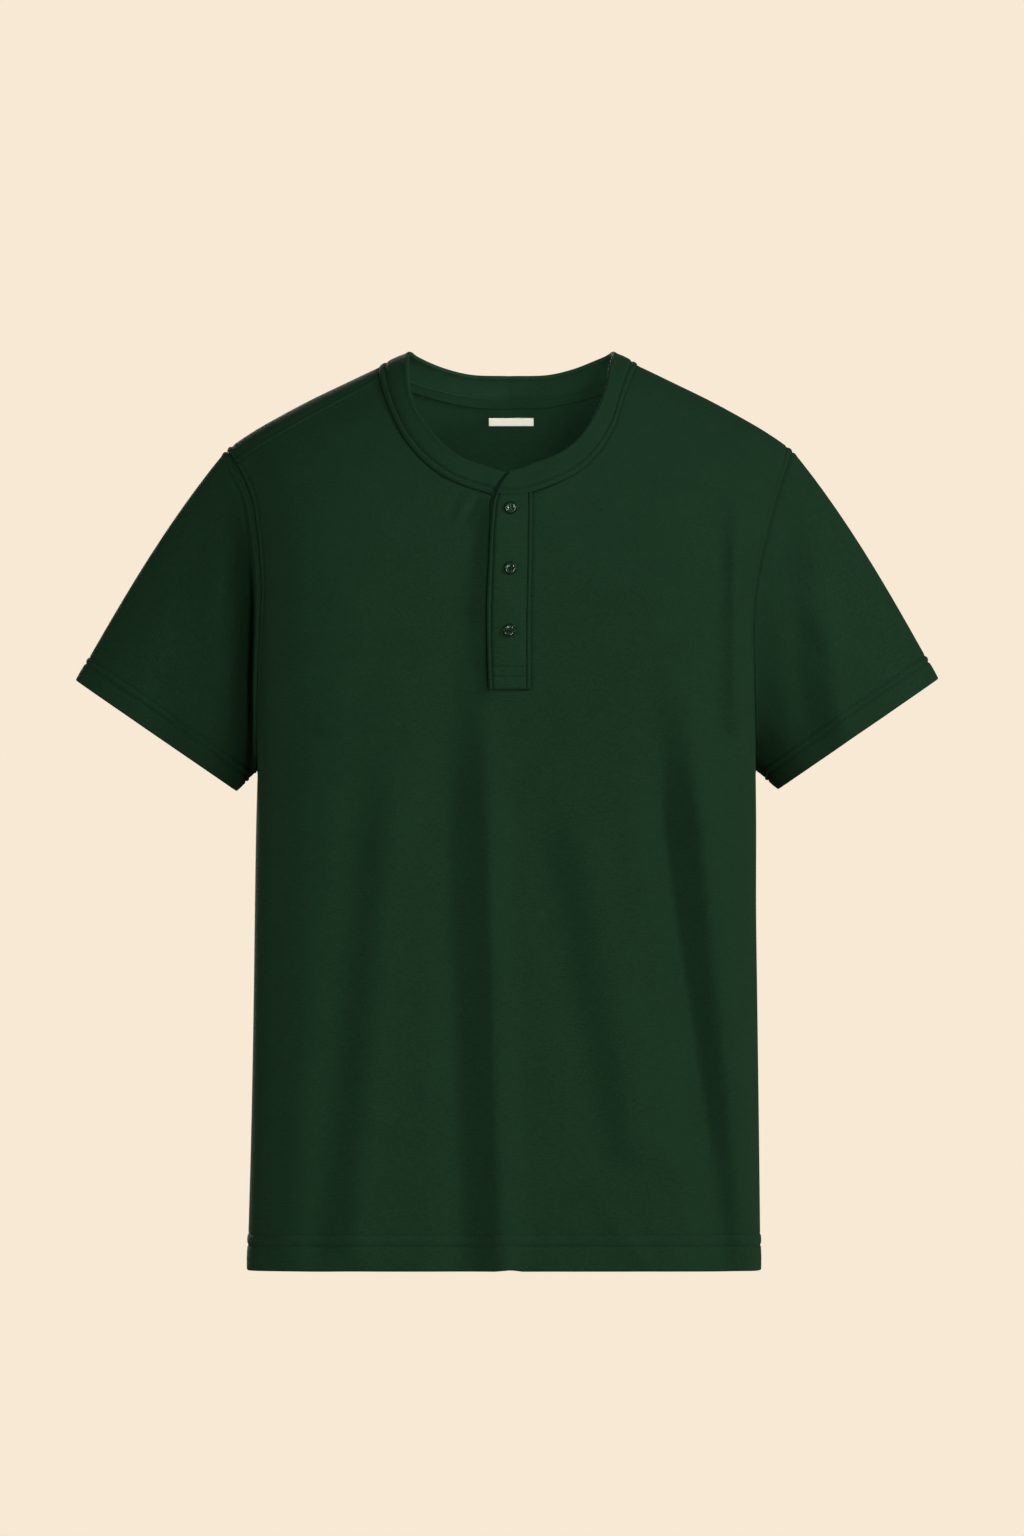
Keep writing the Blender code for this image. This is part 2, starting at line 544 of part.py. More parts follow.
def buttonMesh():
    # A turned disc with a raised rim and four holes: +Z faces out, and its back rests on the placket
    def circle(x, y, radius, count):
        a = np.arange(count) * 2 * np.pi / count
        return [(x + radius * np.cos(t), y + radius * np.sin(t)) for t in a]

    centres = [(i * buttonHoleStep / 2, j * buttonHoleStep / 2) for i in (-1, 1) for j in (-1, 1)]
    loops = [circle(0, 0, radius, 28) for radius, _, _ in buttonProfile]
    loops += [circle(x, y, buttonHoleRadius, 8) for x, y in centres]
    flat, edges = [], []
    for loop in loops:
        base = len(flat)
        flat += loop
        edges += [(base + k, base + (k + 1) % len(loop)) for k in range(len(loop))]
    points, _, faces, *_ = delaunay_2d_cdt(flat, edges, [], 0, 1e-6)
    points = np.array([(p[0], p[1]) for p in points])

    def inHole(face):
        x, y = points[list(face)].mean(axis=0)
        return any(np.hypot(x - cx, y - cy) < buttonHoleRadius * 0.8 for cx, cy in centres)

    faces = [list(face) for face in faces if not inHole(face)]
    sides = {(a, b) for face in faces for a, b in zip(face, face[1:] + face[:1])}
    rims = [(a, b) for a, b in sides if (b, a) not in sides]
    radius = np.hypot(*points.T)
    rows = sorted(buttonProfile)
    levels = [np.interp(radius, [row[0] for row in rows], [row[k] for row in rows]) for k in (1, 2)]
    front, back = (np.column_stack([points, level]) for level in levels)
    n = len(points)
    faces += [[v + n for v in reversed(face)] for face in faces] + [[b, a, a + n, b + n] for a, b in sorted(rims)]
    return closedMesh("button", np.concatenate([front, back]), faces, "button")


def buttons():
    mesh = buttonMesh()
    for k, (x, z) in enumerate(buttonPlaces):
        turn = float(turnTo(np.array(x), z))
        middle = clothOut(np.array(x), np.array(turn), seamGap + stripWall + 0.35)
        out = clothNormal(np.array(x), np.array(turn))
        across = np.cross([0, 0, 1], out)
        across /= np.linalg.norm(across)
        turned = Matrix(np.column_stack([across, np.cross(out, across), out]).tolist())
        place("button_%d" % (k + 1), mesh, middle, turned.to_euler())


for obj in list(bpy.data.objects):
    bpy.data.objects.remove(obj, do_unlink=True)
henley = bpy.data.objects.new("henley", None)
bpy.context.scene.collection.objects.link(henley)

panelLayers, armpitRow = panels()
for side in ("left", "right"):
    sleeve(side, panelLayers, armpitRow)
neckband()
placket()
neckInside()
buttons()
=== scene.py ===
# Henley shirt in dark green cotton jersey, filled out as if worn.
# Lengths are millimetres until a mesh is made. +Z is up, the front faces -Y,
# and left and right are as seen from the front.
import bpy
import math
import numpy as np
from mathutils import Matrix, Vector
from mathutils.geometry import delaunay_2d_cdt


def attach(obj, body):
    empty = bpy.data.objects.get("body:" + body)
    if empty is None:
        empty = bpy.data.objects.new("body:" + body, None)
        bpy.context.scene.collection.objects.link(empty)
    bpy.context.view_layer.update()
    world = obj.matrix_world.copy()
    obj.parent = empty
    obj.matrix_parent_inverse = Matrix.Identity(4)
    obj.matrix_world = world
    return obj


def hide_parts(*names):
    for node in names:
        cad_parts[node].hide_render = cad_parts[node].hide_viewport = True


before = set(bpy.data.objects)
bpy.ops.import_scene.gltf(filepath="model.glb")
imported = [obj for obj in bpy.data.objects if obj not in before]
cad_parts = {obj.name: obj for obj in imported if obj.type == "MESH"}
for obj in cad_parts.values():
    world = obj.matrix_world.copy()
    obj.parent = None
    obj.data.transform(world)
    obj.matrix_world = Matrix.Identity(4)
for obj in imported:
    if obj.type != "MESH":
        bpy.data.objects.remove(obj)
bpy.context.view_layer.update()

mm = 0.001
scene = bpy.context.scene
print("frame loaded:", len(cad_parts), "solids")

# The form, as the solids have it
form = {
    "hem": -711.0, "armpit": -324.0, "shoulderRoll": 200.0, "squareness": 4.4,
    "wall": 1.1, "hemWall": 2.0, "bandWall": 2.4, "stripWall": 2.0, "bandProud": 0.8,
    "slotHalf": 11.0, "slotBottom": -254.0, "placketBottom": -262.0,
    "placketLift": 5.0}  # how far the cloth rises to the placket's free edge
bodyEdge = [  # height, left, right
    (-711, -202.6, 194.8), (-620, -200.0, 193.8), (-496, -197.6, 192.2), (-434, -196.8, 191.4),
    (-360, -195.6, 191.4), (-324, -194.6, 191.0), (-252, -193.8, 189.4), (-204, -191.9, 189.0),
    (-180, -191.4, 191.4), (-161, -192.6, 195.0), (-138, -195.0, 200.6), (-112, -199.7, 207.8),
    (-93, -208.0, 214.5), (-76, -219.0, 220.0)]
bodyDepth = [  # height, front, back
    (-711, 112, 108), (-600, 110, 101), (-500, 110, 97), (-400, 113, 102), (-314, 117, 111),
    (-250, 120, 117), (-200, 121, 119), (-150, 118, 116), (-110, 115, 112), (-50, 111, 109), (0, 108, 108)]
armholeDepth = [  # height, how far the armhole edge stands from the middle
    (-324, 0), (-316, 22), (-302, 39), (-281, 52), (-248, 64), (-205, 72), (-150, 73), (-100, 68),
    (-76, 64)]
shoulderLine = [  # across, height of the ridge
    (0, 16), (40, 11), (77.5, -0.6), (102.7, -12.4), (128.6, -24.8), (154.2, -37.2),
    (177.4, -49.6), (198.8, -62), (216.6, -74.4), (232, -88)]
shoulderSeam = [  # across, turn past the ridge at left and at right
    (98, 66, -25), (145, 74, -22), (218, 82, -18)]
neckSeam = [  # face, left across, left height, right across, right height
    ("front", 0, -113, 0, -113), ("front", -17, -109.8, 20.2, -109.3), ("front", -35.7, -103.9, 38.8, -102),
    ("front", -51.9, -96.1, 56.6, -91.6), ("front", -67.4, -83.7, 71.4, -76.2),
    ("front", -82.2, -65.1, 82.0, -57.6),
    ("front", -91.5, -46.5, 88.4, -37.2), ("front", -98.4, -27.9, 94, -22.5), ("ridge", -99.8, 0, 99.2, 0),
    ("back", -90, -18.2, 91, -18.0), ("back", -76, -23.6, 78, -23.2), ("back", -58, -29.4, 60, -29.2),
    ("back", -31, -35.3, 33, -35.3), ("back", 0, -37, 0, -37)]
bandTop = [  # the neckband's top edge, in the same columns
    ("front", 0, -93.6, 0, -93.6), ("front", -17, -89.1, 20.2, -87), ("front", -35.7, -82.4, 38.8, -79),
    ("front", -51.2, -71.3, 52.7, -68.2), ("front", -62, -58.9, 62, -55.8),
    ("front", -70.5, -46.5, 69.5, -42),
    ("front", -76, -31, 74.5, -28), ("front", -77.6, -17, 77.2, -13), ("ridge", -75.6, 0, 79.4, 0),
    ("back", -70, -3.6, 73, -3.6), ("back", -62, -7.4, 64, -7.2), ("back", -50, -12, 51.5, -12),
    ("back", -31, -16.6, 33, -16.6), ("back", 0, -17.8, 0, -17.8)]
placketEdge = [  # height, left, right
    (-262, -15.5, 16.3), (-240, -16.2, 16.2), (-190, -16.3, 16.4), (-166, -15.4, 17.0), (-140, -14.5, 17.3),
    (-130, -13.6, 17.5), (-121, -12.9, 17.6), (-115, -11.7, 17.6), (-112, -10.4, 17.7), (-109, -9.2, 17.7),
    (-105, -7.0, 17.8), (-96, -1.0, 17.9)]

# Folds of the body. The first group is in the solids too; the second is finer
bodyFolds = [  # face, top across, top height, bottom across, bottom height, half width, rise
    ("front", -48, -215, -36, -770, 17, -6.0), ("front", -19, -240, -2, -770, 13, 6.5),
    ("front", -110, -290, -150, -720, 15, -3.6), ("front", -84, -290, -120, -720, 14, 3.6),
    ("front", 18, -340, 74, -640, 17, -3.2), ("front", 48, -330, 108, -640, 17, 3.6),
    ("front", 106, -250, 166, -740, 16, -7.0), ("front", 136, -240, 194, -740, 13, 10.0),
    ("back", -12, -240, 20, -735, 22, 5.0), ("back", 40, -330, 62, -735, 20, -4.0),
    ("back", -58, -300, -80, -735, 22, -4.4), ("back", -110, -260, -128, -735, 20, 4.2),
    ("back", 104, -280, 132, -720, 20, 4.4), ("back", 0, -86, 0, -190, 34, -3.0)]
softCreases = [  # face, start across, start height, end across, end height, bend, half width, rise
    ("front", -13, -330, -4, -700, 4, 9, 0.9), ("front", -62, -520, -58, -712, -5, 10, 0.8),
    ("front", 96, -560, 140, -700, 6, 8, -0.9), ("front", 70, -640, 118, -702, 4, 7, -0.8),
    ("front", -150, -420, -160, -690, 5, 12, 0.7), ("front", 20, -600, 34, -712, -3, 8, 0.6),
    ("front", -22, -113, -36, -138, 2, 2.6, -2.2), ("front", -29, -109, -42, -132, -1, 3.0, 1.6),
    ("front", -38, -106, -48, -128, -2, 3.4, -1.0),
    ("front", 160, -110, 158, -300, 0, 8, -3.6), ("front", 177, -105, 177, -312, 0, 7.5, 8.5),
    ("front", -30, -560, -14, -760, 0, 9, -1.2), ("front", 112, -260, 170, -740, 0, 8, -2.4),
    ("front", -40, -150, -42, -300, 0, 10, -1.0), ("front", 66, -640, 112, -712, 3, 9, 1.6),
    ("front", -186, -290, -120, -250, 8, 10, 1.3), ("front", 184, -292, 118, -244, -9, 11, 1.2),
    ("front", -188, -302, -140, -300, -5, 8, -0.9), ("front", 186, -304, 132, -290, 6, 8, -1.0),
    ("front", -150, -96, -90, -150, -8, 14, 0.7), ("front", 150, -98, 96, -148, 8, 13, 0.7),
    ("back", -186, -290, -112, -232, 9, 11, 1.5), ("back", 184, -288, 108, -236, -8, 10, 1.5),
    ("back", -188, -304, -128, -286, 4, 8, -1.1), ("back", 186, -302, 126, -284, -5, 8, -1.1),
    ("back", -70, -60, -24, -110, 6, 12, 0.9), ("back", 74, -62, 30, -116, -7, 12, 0.8),
    ("back", -30, -380, -26, -700, -6, 10, 0.9), ("back", 84, -430, 92, -704, 5, 9, -0.9),
    ("back", -150, -470, -156, -706, 4, 10, 0.8), ("back", 12, -560, 40, -712, 5, 8, -0.8),
    ("sleeve front", 232, -90, 262, -322, 0, 12, 4.4), ("sleeve front", 210, -104, 232, -310, 0, 11, -2.6),
    ("sleeve front", -221, -100, -228, -330, 0, 12, 3.2),
    ("sleeve front", -262, -180, -296, -330, 3, 12, 1.4),
    ("sleeve front", 292, -200, 306, -330, 0, 12, 1.2), ("sleeve back", 232, -100, 262, -330, 0, 13, 3.4),
    ("sleeve back", -236, -100, -262, -330, 0, 13, 3.0),
    ("sleeve back", -212, -120, -228, -330, 0, 11, -2.2)]


def curve(table, column, at):
    # A smooth line through one column of a table, held level past its ends
    rows = sorted(table)
    knots = np.array([row[0] for row in rows], float)
    values = np.array([row[column] for row in rows], float)
    slopes = np.gradient(values, knots)
    at = np.clip(at, knots[0], knots[-1])
    i = np.clip(np.searchsorted(knots, at, side="right") - 1, 0, len(knots) - 2)
    h = knots[i + 1] - knots[i]
    t = (at - knots[i]) / h
    return ((2 * t**3 - 3 * t**2 + 1) * values[i] + (t**3 - 2 * t**2 + t) * h * slopes[i]
            + (3 * t**2 - 2 * t**3) * values[i + 1] + (t**3 - t**2) * h * slopes[i + 1])


def ease(low, high, at):
    t = np.clip((at - low) / (high - low), 0, 1)
    return t * t * (3 - 2 * t)


def hump(at, middle, half):
    return np.exp(-((at - middle) / half) ** 2)


def ridge(x):
    return curve(shoulderLine, 1, np.abs(x - 1.7 * np.clip(1 - np.abs(x) / 215, 0, 1)))


def drop(turn):
    # Height lost after a turn past the shoulder ridge; the turn is a length along the cloth
    roll = form["shoulderRoll"]
    a = np.abs(turn) / roll
    return np.where(a < np.pi / 2, roll * (1 - np.cos(a)), np.abs(turn) - roll * (np.pi / 2 - 1))


def turnTo(x, z):
    roll = form["shoulderRoll"]
    d = ridge(x) - z
    return np.where(d < roll, roll * np.arccos(np.clip(1 - d / roll, -1, 1)), d + roll * (np.pi / 2 - 1))


def placketLeft(z):
    return curve(placketEdge, 1, z)


def placketRight(z):
    return curve(placketEdge, 2, z)


def halfWidth(x, z):
    return np.where(x < 0, -curve(bodyEdge, 1, z), curve(bodyEdge, 2, z))


def folds(x, z, isFront):
    total = np.zeros(np.broadcast(x, z).shape)
    for face, x0, z0, x1, z1, half, rise in bodyFolds:
        along = (z0 - z) / (z0 - z1)
        across = x - (x0 + (x1 - x0) * along)
        shape = rise * hump(across, 0, half) * ease(0, 0.25, along) * ease(1.0, 0.93, along)
        total += np.where(isFront == (face == "front"), shape, 0)
    total += np.where(isFront, creased("front", x, z), creased("back", x, z))
    # the cloth rises to the placket's free edge
    edge = np.clip((x + 31) / 15.5, 0, 1) ** 2.2 * ease(18, -11, x) * ease(-104, -122, z)
    edge = edge * (0.45 + 0.55 * ease(-262, -190, z)) * ease(-276, -258, z)
    total += np.where(isFront, form["placketLift"] * edge, 0)
    return total * ease(0, 8, halfWidth(x, z) - np.abs(x))


def creased(where, x, z):
    # The finer creases of one face, as a rise out of the cloth
    total = np.zeros(np.broadcast(x, z).shape)
    for face, x0, z0, x1, z1, bend, half, rise in softCreases:
        if face == where:
            dx, dz = x1 - x0, z1 - z0
            length = math.hypot(dx, dz)
            along = ((x - x0) * dx + (z - z0) * dz) / length**2
            across = ((x - x0) * dz - (z - z0) * dx) / length - bend * 4 * along * (1 - along)
            total += rise * hump(across, 0, half) * ease(-0.08, 0.3, along) * ease(1.08, 0.8, along)
    return total


def cloth(x, turn):
    # A point of the outer cloth: across, and the turn past the shoulder ridge (+ to the front, - to the back)
    x, turn = np.broadcast_arrays(np.asarray(x, float), np.asarray(turn, float))
    p, roll = form["squareness"], form["shoulderRoll"]
    z = ridge(x) - drop(turn)
    isFront = turn >= 0
    full = np.where(isFront, curve(bodyDepth, 1, z), curve(bodyDepth, 2, z))
    edge = curve(armholeDepth, 1, z)
    wide = halfWidth(x, z) / (1 - (edge / full) ** p) ** (1 / p)
    depth = full * (1 - np.clip(np.abs(x) / wide, 0, 1) ** p) ** (1 / p)
    rolled = np.sin(np.clip(np.abs(turn) / roll, 0, np.pi / 2))
    y = np.where(isFront, -1, 1) * (depth * rolled + folds(x, z, isFront))
    return np.stack([x, y, z], axis=-1)


def unit(v):
    return v / np.maximum(np.linalg.norm(v, axis=-1, keepdims=True), 1e-12)


def clothNormal(x, turn):
    across = cloth(x + 0.8, turn) - cloth(x - 0.8, turn)
    down = cloth(x, turn + 0.8) - cloth(x, turn - 0.8)
    return -unit(np.cross(across, down))


def clothOut(x, turn, out):
    return cloth(x, turn) + clothNormal(x, turn) * np.asarray(out)[..., None]


def gridNormals(grid, middle, ring=False):
    if ring:
        grid = np.concatenate([grid[:, -1:], grid, grid[:, :1]], axis=1)
    n = unit(np.cross(np.gradient(grid, axis=1), np.gradient(grid, axis=0)))
    n *= np.sign(np.sum(n * (grid - np.asarray(middle, float)), axis=-1, keepdims=True))
    return n[:, 1:-1] if ring else n


def makeObject(name, points, faces, finish, coords=None, smooth=True):
    mesh = bpy.data.meshes.new(name)
    mesh.from_pydata((np.asarray(points) * mm).tolist(), [], [list(map(int, f)) for f in faces])
    mesh.polygons.foreach_set("use_smooth", np.full(len(mesh.polygons), smooth))
    if coords is not None:
        layer = mesh.uv_layers.new(name="cloth")
        corner = np.zeros(len(mesh.loops), np.int32)
        mesh.loops.foreach_get("vertex_index", corner)
        layer.data.foreach_set("uv", (np.asarray(coords, float)[corner] * mm).astype(np.float32).ravel())
    mesh.materials.append(finish)
    mesh.validate()
    obj = bpy.data.objects.new(name, mesh)
    scene.collection.objects.link(obj)
    return obj


def volume(points, quads):
    a, b, c, d = (points[quads[:, k]] for k in range(4))
    return (np.sum(np.cross(a, b) * c) + np.sum(np.cross(a, c) * d)) / 6


def sheetMesh(name, outer, inner, finish, ring=False, keep=None, coords=None):
    # Two grids of points closed into one thin shell. Cells left out of keep are holes; a ring has no sides
    rows, columns = outer.shape[:2]
    number = np.arange(rows * columns).reshape(rows, columns)
    if ring:
        number = np.concatenate([number, number[:, :1]], axis=1)
    quads = np.stack([number[:-1, :-1], number[:-1, 1:], number[1:, 1:], number[1:, :-1]], axis=-1)
    keep = np.ones(quads.shape[:2], bool) if keep is None else keep
    around = np.pad(keep, 1)
    if ring:
        around[1:-1, 0], around[1:-1, -1] = keep[:, -1], keep[:, 0]
    count = rows * columns
    faces = [quads[keep], quads[keep][:, ::-1] + count]
    for k, beside in enumerate((around[:-2, 1:-1], around[1:-1, 2:], around[2:, 1:-1], around[1:-1, :-2])):
        edge = quads[keep & ~beside]
        a, b = edge[:, k], edge[:, (k + 1) % 4]
        faces.append(np.stack([a, a + count, b + count, b], axis=-1))
    faces = np.concatenate(faces)
    points = np.concatenate([outer.reshape(-1, 3), inner.reshape(-1, 3)])
    if volume(points, faces) < 0:
        faces = faces[:, ::-1]
    used, faces = np.unique(faces, return_inverse=True)
    faces = faces.reshape(-1, 4)
    if coords is not None:
        flat = coords.reshape(-1, 2)
        coords = np.concatenate([flat, flat])[used]
    return makeObject(name, points[used], faces, finish, coords)


def roundEdge(outer, inner, near):
    # Brings the two sides of a wall together near a folded edge; near is the distance to it
    middle, half = (outer + inner) / 2, (outer - inner) / 2
    thick = np.linalg.norm(half, axis=-1)
    share = np.clip(near / np.maximum(thick, 1e-6), 0, 1)
    share = np.maximum(np.sqrt(1 - (1 - share) ** 2), 0.12)[..., None]
    return middle + half * share, middle - half * share


def flatCoords(grid):
    # Lengths along the rows from their middles and down the columns, which lay the cloth's own knit over it
    across = np.linalg.norm(np.diff(grid, axis=1), axis=-1)
    u = np.concatenate([np.zeros((grid.shape[0], 1)), np.cumsum(across, axis=1)], axis=1)
    u -= u[:, grid.shape[1] // 2][:, None]
    down = np.median(np.linalg.norm(np.diff(grid, axis=0), axis=-1), axis=1)
    v = np.concatenate([[0], np.cumsum(down)])
    return np.stack([u, np.broadcast_to(v[:, None], u.shape)], axis=-1)


def resample(line, at):
    # The line's last column holds the lengths along it; gives the other columns at the lengths asked for
    return np.stack([np.interp(at, line[:, -1], line[:, k]) for k in range(line.shape[1] - 1)], axis=-1)


def measured(points):
    steps = np.linalg.norm(np.diff(points, axis=0), axis=1)
    return np.concatenate([[0], np.cumsum(steps)])


def newMaterial(name):
    material = bpy.data.materials.new(name)
    material.use_nodes = True
    tree = material.node_tree
    tree.nodes.clear()
    shader = tree.nodes.new("ShaderNodeBsdfPrincipled")
    output = tree.nodes.new("ShaderNodeOutputMaterial")
    tree.links.new(shader.outputs["BSDF"], output.inputs["Surface"])
    return material, tree, shader


def noise(tree, vector, scale, rough=0.5):
    node = tree.nodes.new("ShaderNodeTexNoise")
    node.inputs["Scale"].default_value = scale
    node.inputs["Detail"].default_value = 2.0
    node.inputs["Roughness"].default_value = rough
    tree.links.new(vector, node.inputs["Vector"])
    return node.outputs["Fac"]


def maths(tree, how, *values):
    node = tree.nodes.new("ShaderNodeMath")
    node.operation = how
    for socket, value in zip(node.inputs, values):
        if isinstance(value, (int, float)):
            socket.default_value = value
        else:
            tree.links.new(value, socket)
    return node.outputs[0]


def blendOf(tree, parts):
    # The sum of some values, each times its share
    total = None
    for value, share in parts:
        part = maths(tree, "MULTIPLY", value, share)
        total = part if total is None else maths(tree, "ADD", total, part)
    return total


def ramp(tree, value, stops):
    node = tree.nodes.new("ShaderNodeValToRGB")
    tree.links.new(value, node.inputs["Fac"])
    while len(node.color_ramp.elements) < len(stops):
        node.color_ramp.elements.new(0.5)
    for element, (place, colour) in zip(node.color_ramp.elements, stops):
        element.position = place
        element.color = (*colour, 1)
    return node.outputs["Color"]


jerseyLook = {
    "dark": (0.0058, 0.0198, 0.0097), "light": (0.0098, 0.0328, 0.0160), "roughness": 0.9,
    "grain": 1000.0, "patches": 34.0, "streakLong": 130.0, "streakTall": 1100.0,
    "wales": 2000.0, "courses": 2500.0, "bump": 0.4, "height": 0.0002,
    "specular": 0.02, "sheen": 0.02, "sheenRoughness": 0.5, "sheenTint": (0.4, 0.9, 0.55)}


def jersey(name, look, turned=False):
    material, tree, shader = newMaterial(name)
    place = tree.nodes.new("ShaderNodeTexCoord").outputs["Object"]
    lay = tree.nodes.new("ShaderNodeUVMap")
    lay.uv_map = "cloth"
    parts = tree.nodes.new("ShaderNodeSeparateXYZ")
    tree.links.new(lay.outputs["UV"], parts.inputs[0])
    across, along = parts.outputs["X"], parts.outputs["Y"]
    if turned:
        across, along = along, across
    grain = noise(tree, place, look["grain"], 0.6)
    # uneven yarn shows as short streaks along the courses
    lengths = tree.nodes.new("ShaderNodeCombineXYZ")
    tree.links.new(maths(tree, "MULTIPLY", across, look["streakLong"]), lengths.inputs["X"])
    tree.links.new(maths(tree, "MULTIPLY", along, look["streakTall"]), lengths.inputs["Y"])
    streak = noise(tree, lengths.outputs[0], 1.0, 0.6)
    patchy = noise(tree, place, look["patches"])
    # V-shaped knit stitches in upright columns: each course leans against the wale
    wale = maths(tree, "MULTIPLY", across, look["wales"] * 2)
    lean = maths(tree, "ABSOLUTE", maths(tree, "SINE", wale))
    course = maths(tree, "SINE", blendOf(tree, [(along, look["courses"] * 3.6), (lean, 1.9)]))
    knit = maths(tree, "MULTIPLY_ADD", course, 0.28, 0.3)
    knit = maths(tree, "ADD", knit, maths(tree, "MULTIPLY", lean, 0.6))
    colourMix = blendOf(tree, [(grain, 0.55), (patchy, 0.10), (streak, 0.30), (knit, 0.10)])
    tree.links.new(ramp(tree, colourMix, [(0.38, look["dark"]), (0.66, look["light"])]),
                   shader.inputs["Base Color"])
    height = blendOf(tree, [(knit, 0.7), (grain, 0.9)])
    bump = tree.nodes.new("ShaderNodeBump")
    bump.inputs["Strength"].default_value = look["bump"]
    bump.inputs["Distance"].default_value = look["height"]
    tree.links.new(height, bump.inputs["Height"])
    tree.links.new(bump.outputs["Normal"], shader.inputs["Normal"])
    shader.inputs["Roughness"].default_value = look["roughness"]
    shader.inputs["Specular IOR Level"].default_value = look["specular"]
    shader.inputs["Sheen Weight"].default_value = look["sheen"]
    shader.inputs["Sheen Roughness"].default_value = look["sheenRoughness"]
    shader.inputs["Sheen Tint"].default_value = (*look["sheenTint"], 1)
    return material


def plainFinish(name, dark, light, scale, roughness, specular=0.5, bump=0.2, height=0.0001, tint=(1, 1, 1)):
    material, tree, shader = newMaterial(name)
    place = tree.nodes.new("ShaderNodeTexCoord").outputs["Object"]
    spots = noise(tree, place, scale)
    tree.links.new(ramp(tree, spots, [(0.35, dark), (0.65, light)]), shader.inputs["Base Color"])
    node = tree.nodes.new("ShaderNodeBump")
    node.inputs["Strength"].default_value = bump
    node.inputs["Distance"].default_value = height
    tree.links.new(spots, node.inputs["Height"])
    tree.links.new(node.outputs["Normal"], shader.inputs["Normal"])
    shader.inputs["Roughness"].default_value = roughness
    shader.inputs["Specular IOR Level"].default_value = specular
    shader.inputs["Specular Tint"].default_value = (*tint, 1)
    return material


jerseyCloth = jersey("green_jersey", jerseyLook)
bandCloth = jersey("green_jersey_band", dict(jerseyLook, grain=1300.0), True)
placketCloth = jersey("green_jersey_placket", jerseyLook)
# The thread is coloured darker than the cloth: painted shade standing in for the shade where each stitch
# sinks into the cloth.
threadPaintedShadeFinish = plainFinish("sewing_thread_painted_shade", (0.0036, 0.0125, 0.0060), (0.0054, 0.0180, 0.0088),
                           900.0, 0.7, 0.1)
buttonFinish = plainFinish("green_button", (0.0018, 0.0070, 0.0032), (0.0034, 0.0115, 0.0054),
                           260.0, 0.18, 0.5, 0.05, tint=(0.6, 1.0, 0.75))
tapeCloth = jersey("neck_tape_cloth", dict(jerseyLook, courses=1500.0, wales=1500.0))
labelCloth = plainFinish("label_cloth", (0.80, 0.77, 0.68), (0.88, 0.85, 0.76),
                         1500.0, 0.8, 0.3, 0.4, 0.00015)
print("finishes made")

panelSet = {  # rows and columns are given as distances from the hem, the top edge and the side
    "neckCells": 54, "shoulderCells": 30, "slotCells": 6, "backNeckCells": 84,
    "lowerRows": 96, "upperRows": 96,
    "hemRows": [0, 0.15, 0.45, 0.9, 2, 5, 9, 13, 16.5, 17.9, 18.6, 19.3, 20, 21.4, 24, 26.6, 27.4, 28.2,
                29, 30, 32],
    "topRows": [12, 9.4, 7.4, 6.5, 5.7, 4.9, 4.0, 3.0, 2.0, 1.3, 0.7, 0.3, 0],
    "edgeSteps": [0, 0.12, 0.4, 0.8, 1.4, 2.2, 3.2, 4.4, 5.2, 5.7, 6.2, 7.2],
    "seamHalfGap": 0.12, "besidePlacket": (10, 0.8),    # width and step of the close columns there
    "hemStitches": [(19.3, 0.85), (28.2, 0.95)],        # height above the hem and depth of each needle line
    "seamStitch": 5.7, "armholeGroove": 0.8, "shoulderGroove": 1.1,
    "sideValley": 1.2, "placketValley": 3.0}


def ringOf(table):
    left = [(row[0], row[1], row[2]) for row in table]
    right = [(row[0], row[3], row[4]) for row in table]
    return [(face, float(x), float(z)) for face, x, z in left[::-1] + right[1:]]


def neckRing():
    points = []
    for face, x, z in ringOf(neckSeam):
        turn = 0.0 if face == "ridge" else float(turnTo(np.array(x), z)) * (1 if face == "front" else -1)
        points.append((x, turn))
    points = np.array(points)
    return measured(cloth(points[:, 0], points[:, 1])), points


topSet = {"setBack": 1.5, "setOut": 4.5, "ridge": -0.5, "backDeep": 65.0, "backHalf": 78,
          "middle": 1.8, "roundness": 2.2}


def topRing():
    places = []
    for face, x, z in ringOf(bandTop):
        if face == "front":
            back = topSet["setBack"] - topSet["setOut"] * ease(12, 60, abs(x))
            place = cloth(np.array(x), turnTo(np.array(x), z)) + np.array([0, back, 0])
        elif face == "ridge":
            place = np.array([x, 0, topSet["ridge"]])
        else:
            p = topSet["roundness"]
            share = (1 - (abs(x - topSet["middle"]) / topSet["backHalf"]) ** p) ** (1 / p)
            place = np.array([x, topSet["backDeep"] * share, z])
        places.append(place)
    places = np.array(places)
    return measured(places), places


neckAlong, neckPoints = neckRing()
topAlong, topPoints = topRing()
quarter = len(neckSeam) - 1
ridgeKnot = next(i for i, row in enumerate(neckSeam) if row[0] == "ridge")
mainKnots = [0, quarter - ridgeKnot, quarter, quarter + ridgeKnot, 2 * quarter]
neckTable = [(a, p[0], p[1]) for a, p in zip(neckAlong, neckPoints)]
topTable = [(a, *p) for a, p in zip(topAlong, topPoints)]


def neckAt(s):
    # Along the neck seam from the middle of the back, round by the left, the front and the right
    return curve(neckTable, 1, s), curve(neckTable, 2, s)


def topAt(s):
    t = np.interp(s, neckAlong[mainKnots], topAlong[mainKnots])
    return np.stack([curve(topTable, k, t) for k in (1, 2, 3)], axis=-1)


def findStation(test):
    s = np.linspace(0, neckAlong[-1], 4001)
    x, turn = neckAt(s)
    return s[np.argmin(np.abs(test(x, turn)))]


cornerLeft = findStation(lambda x, turn: turn - 66 + 1e3 * (x > 0))
cornerRight = findStation(lambda x, turn: turn + 25 + 1e3 * (x < 0))
slotLeft = findStation(lambda x, turn: x + form["slotHalf"] + 1e3 * (turn < 0))
slotRight = findStation(lambda x, turn: x - form["slotHalf"] + 1e3 * (turn < 0))


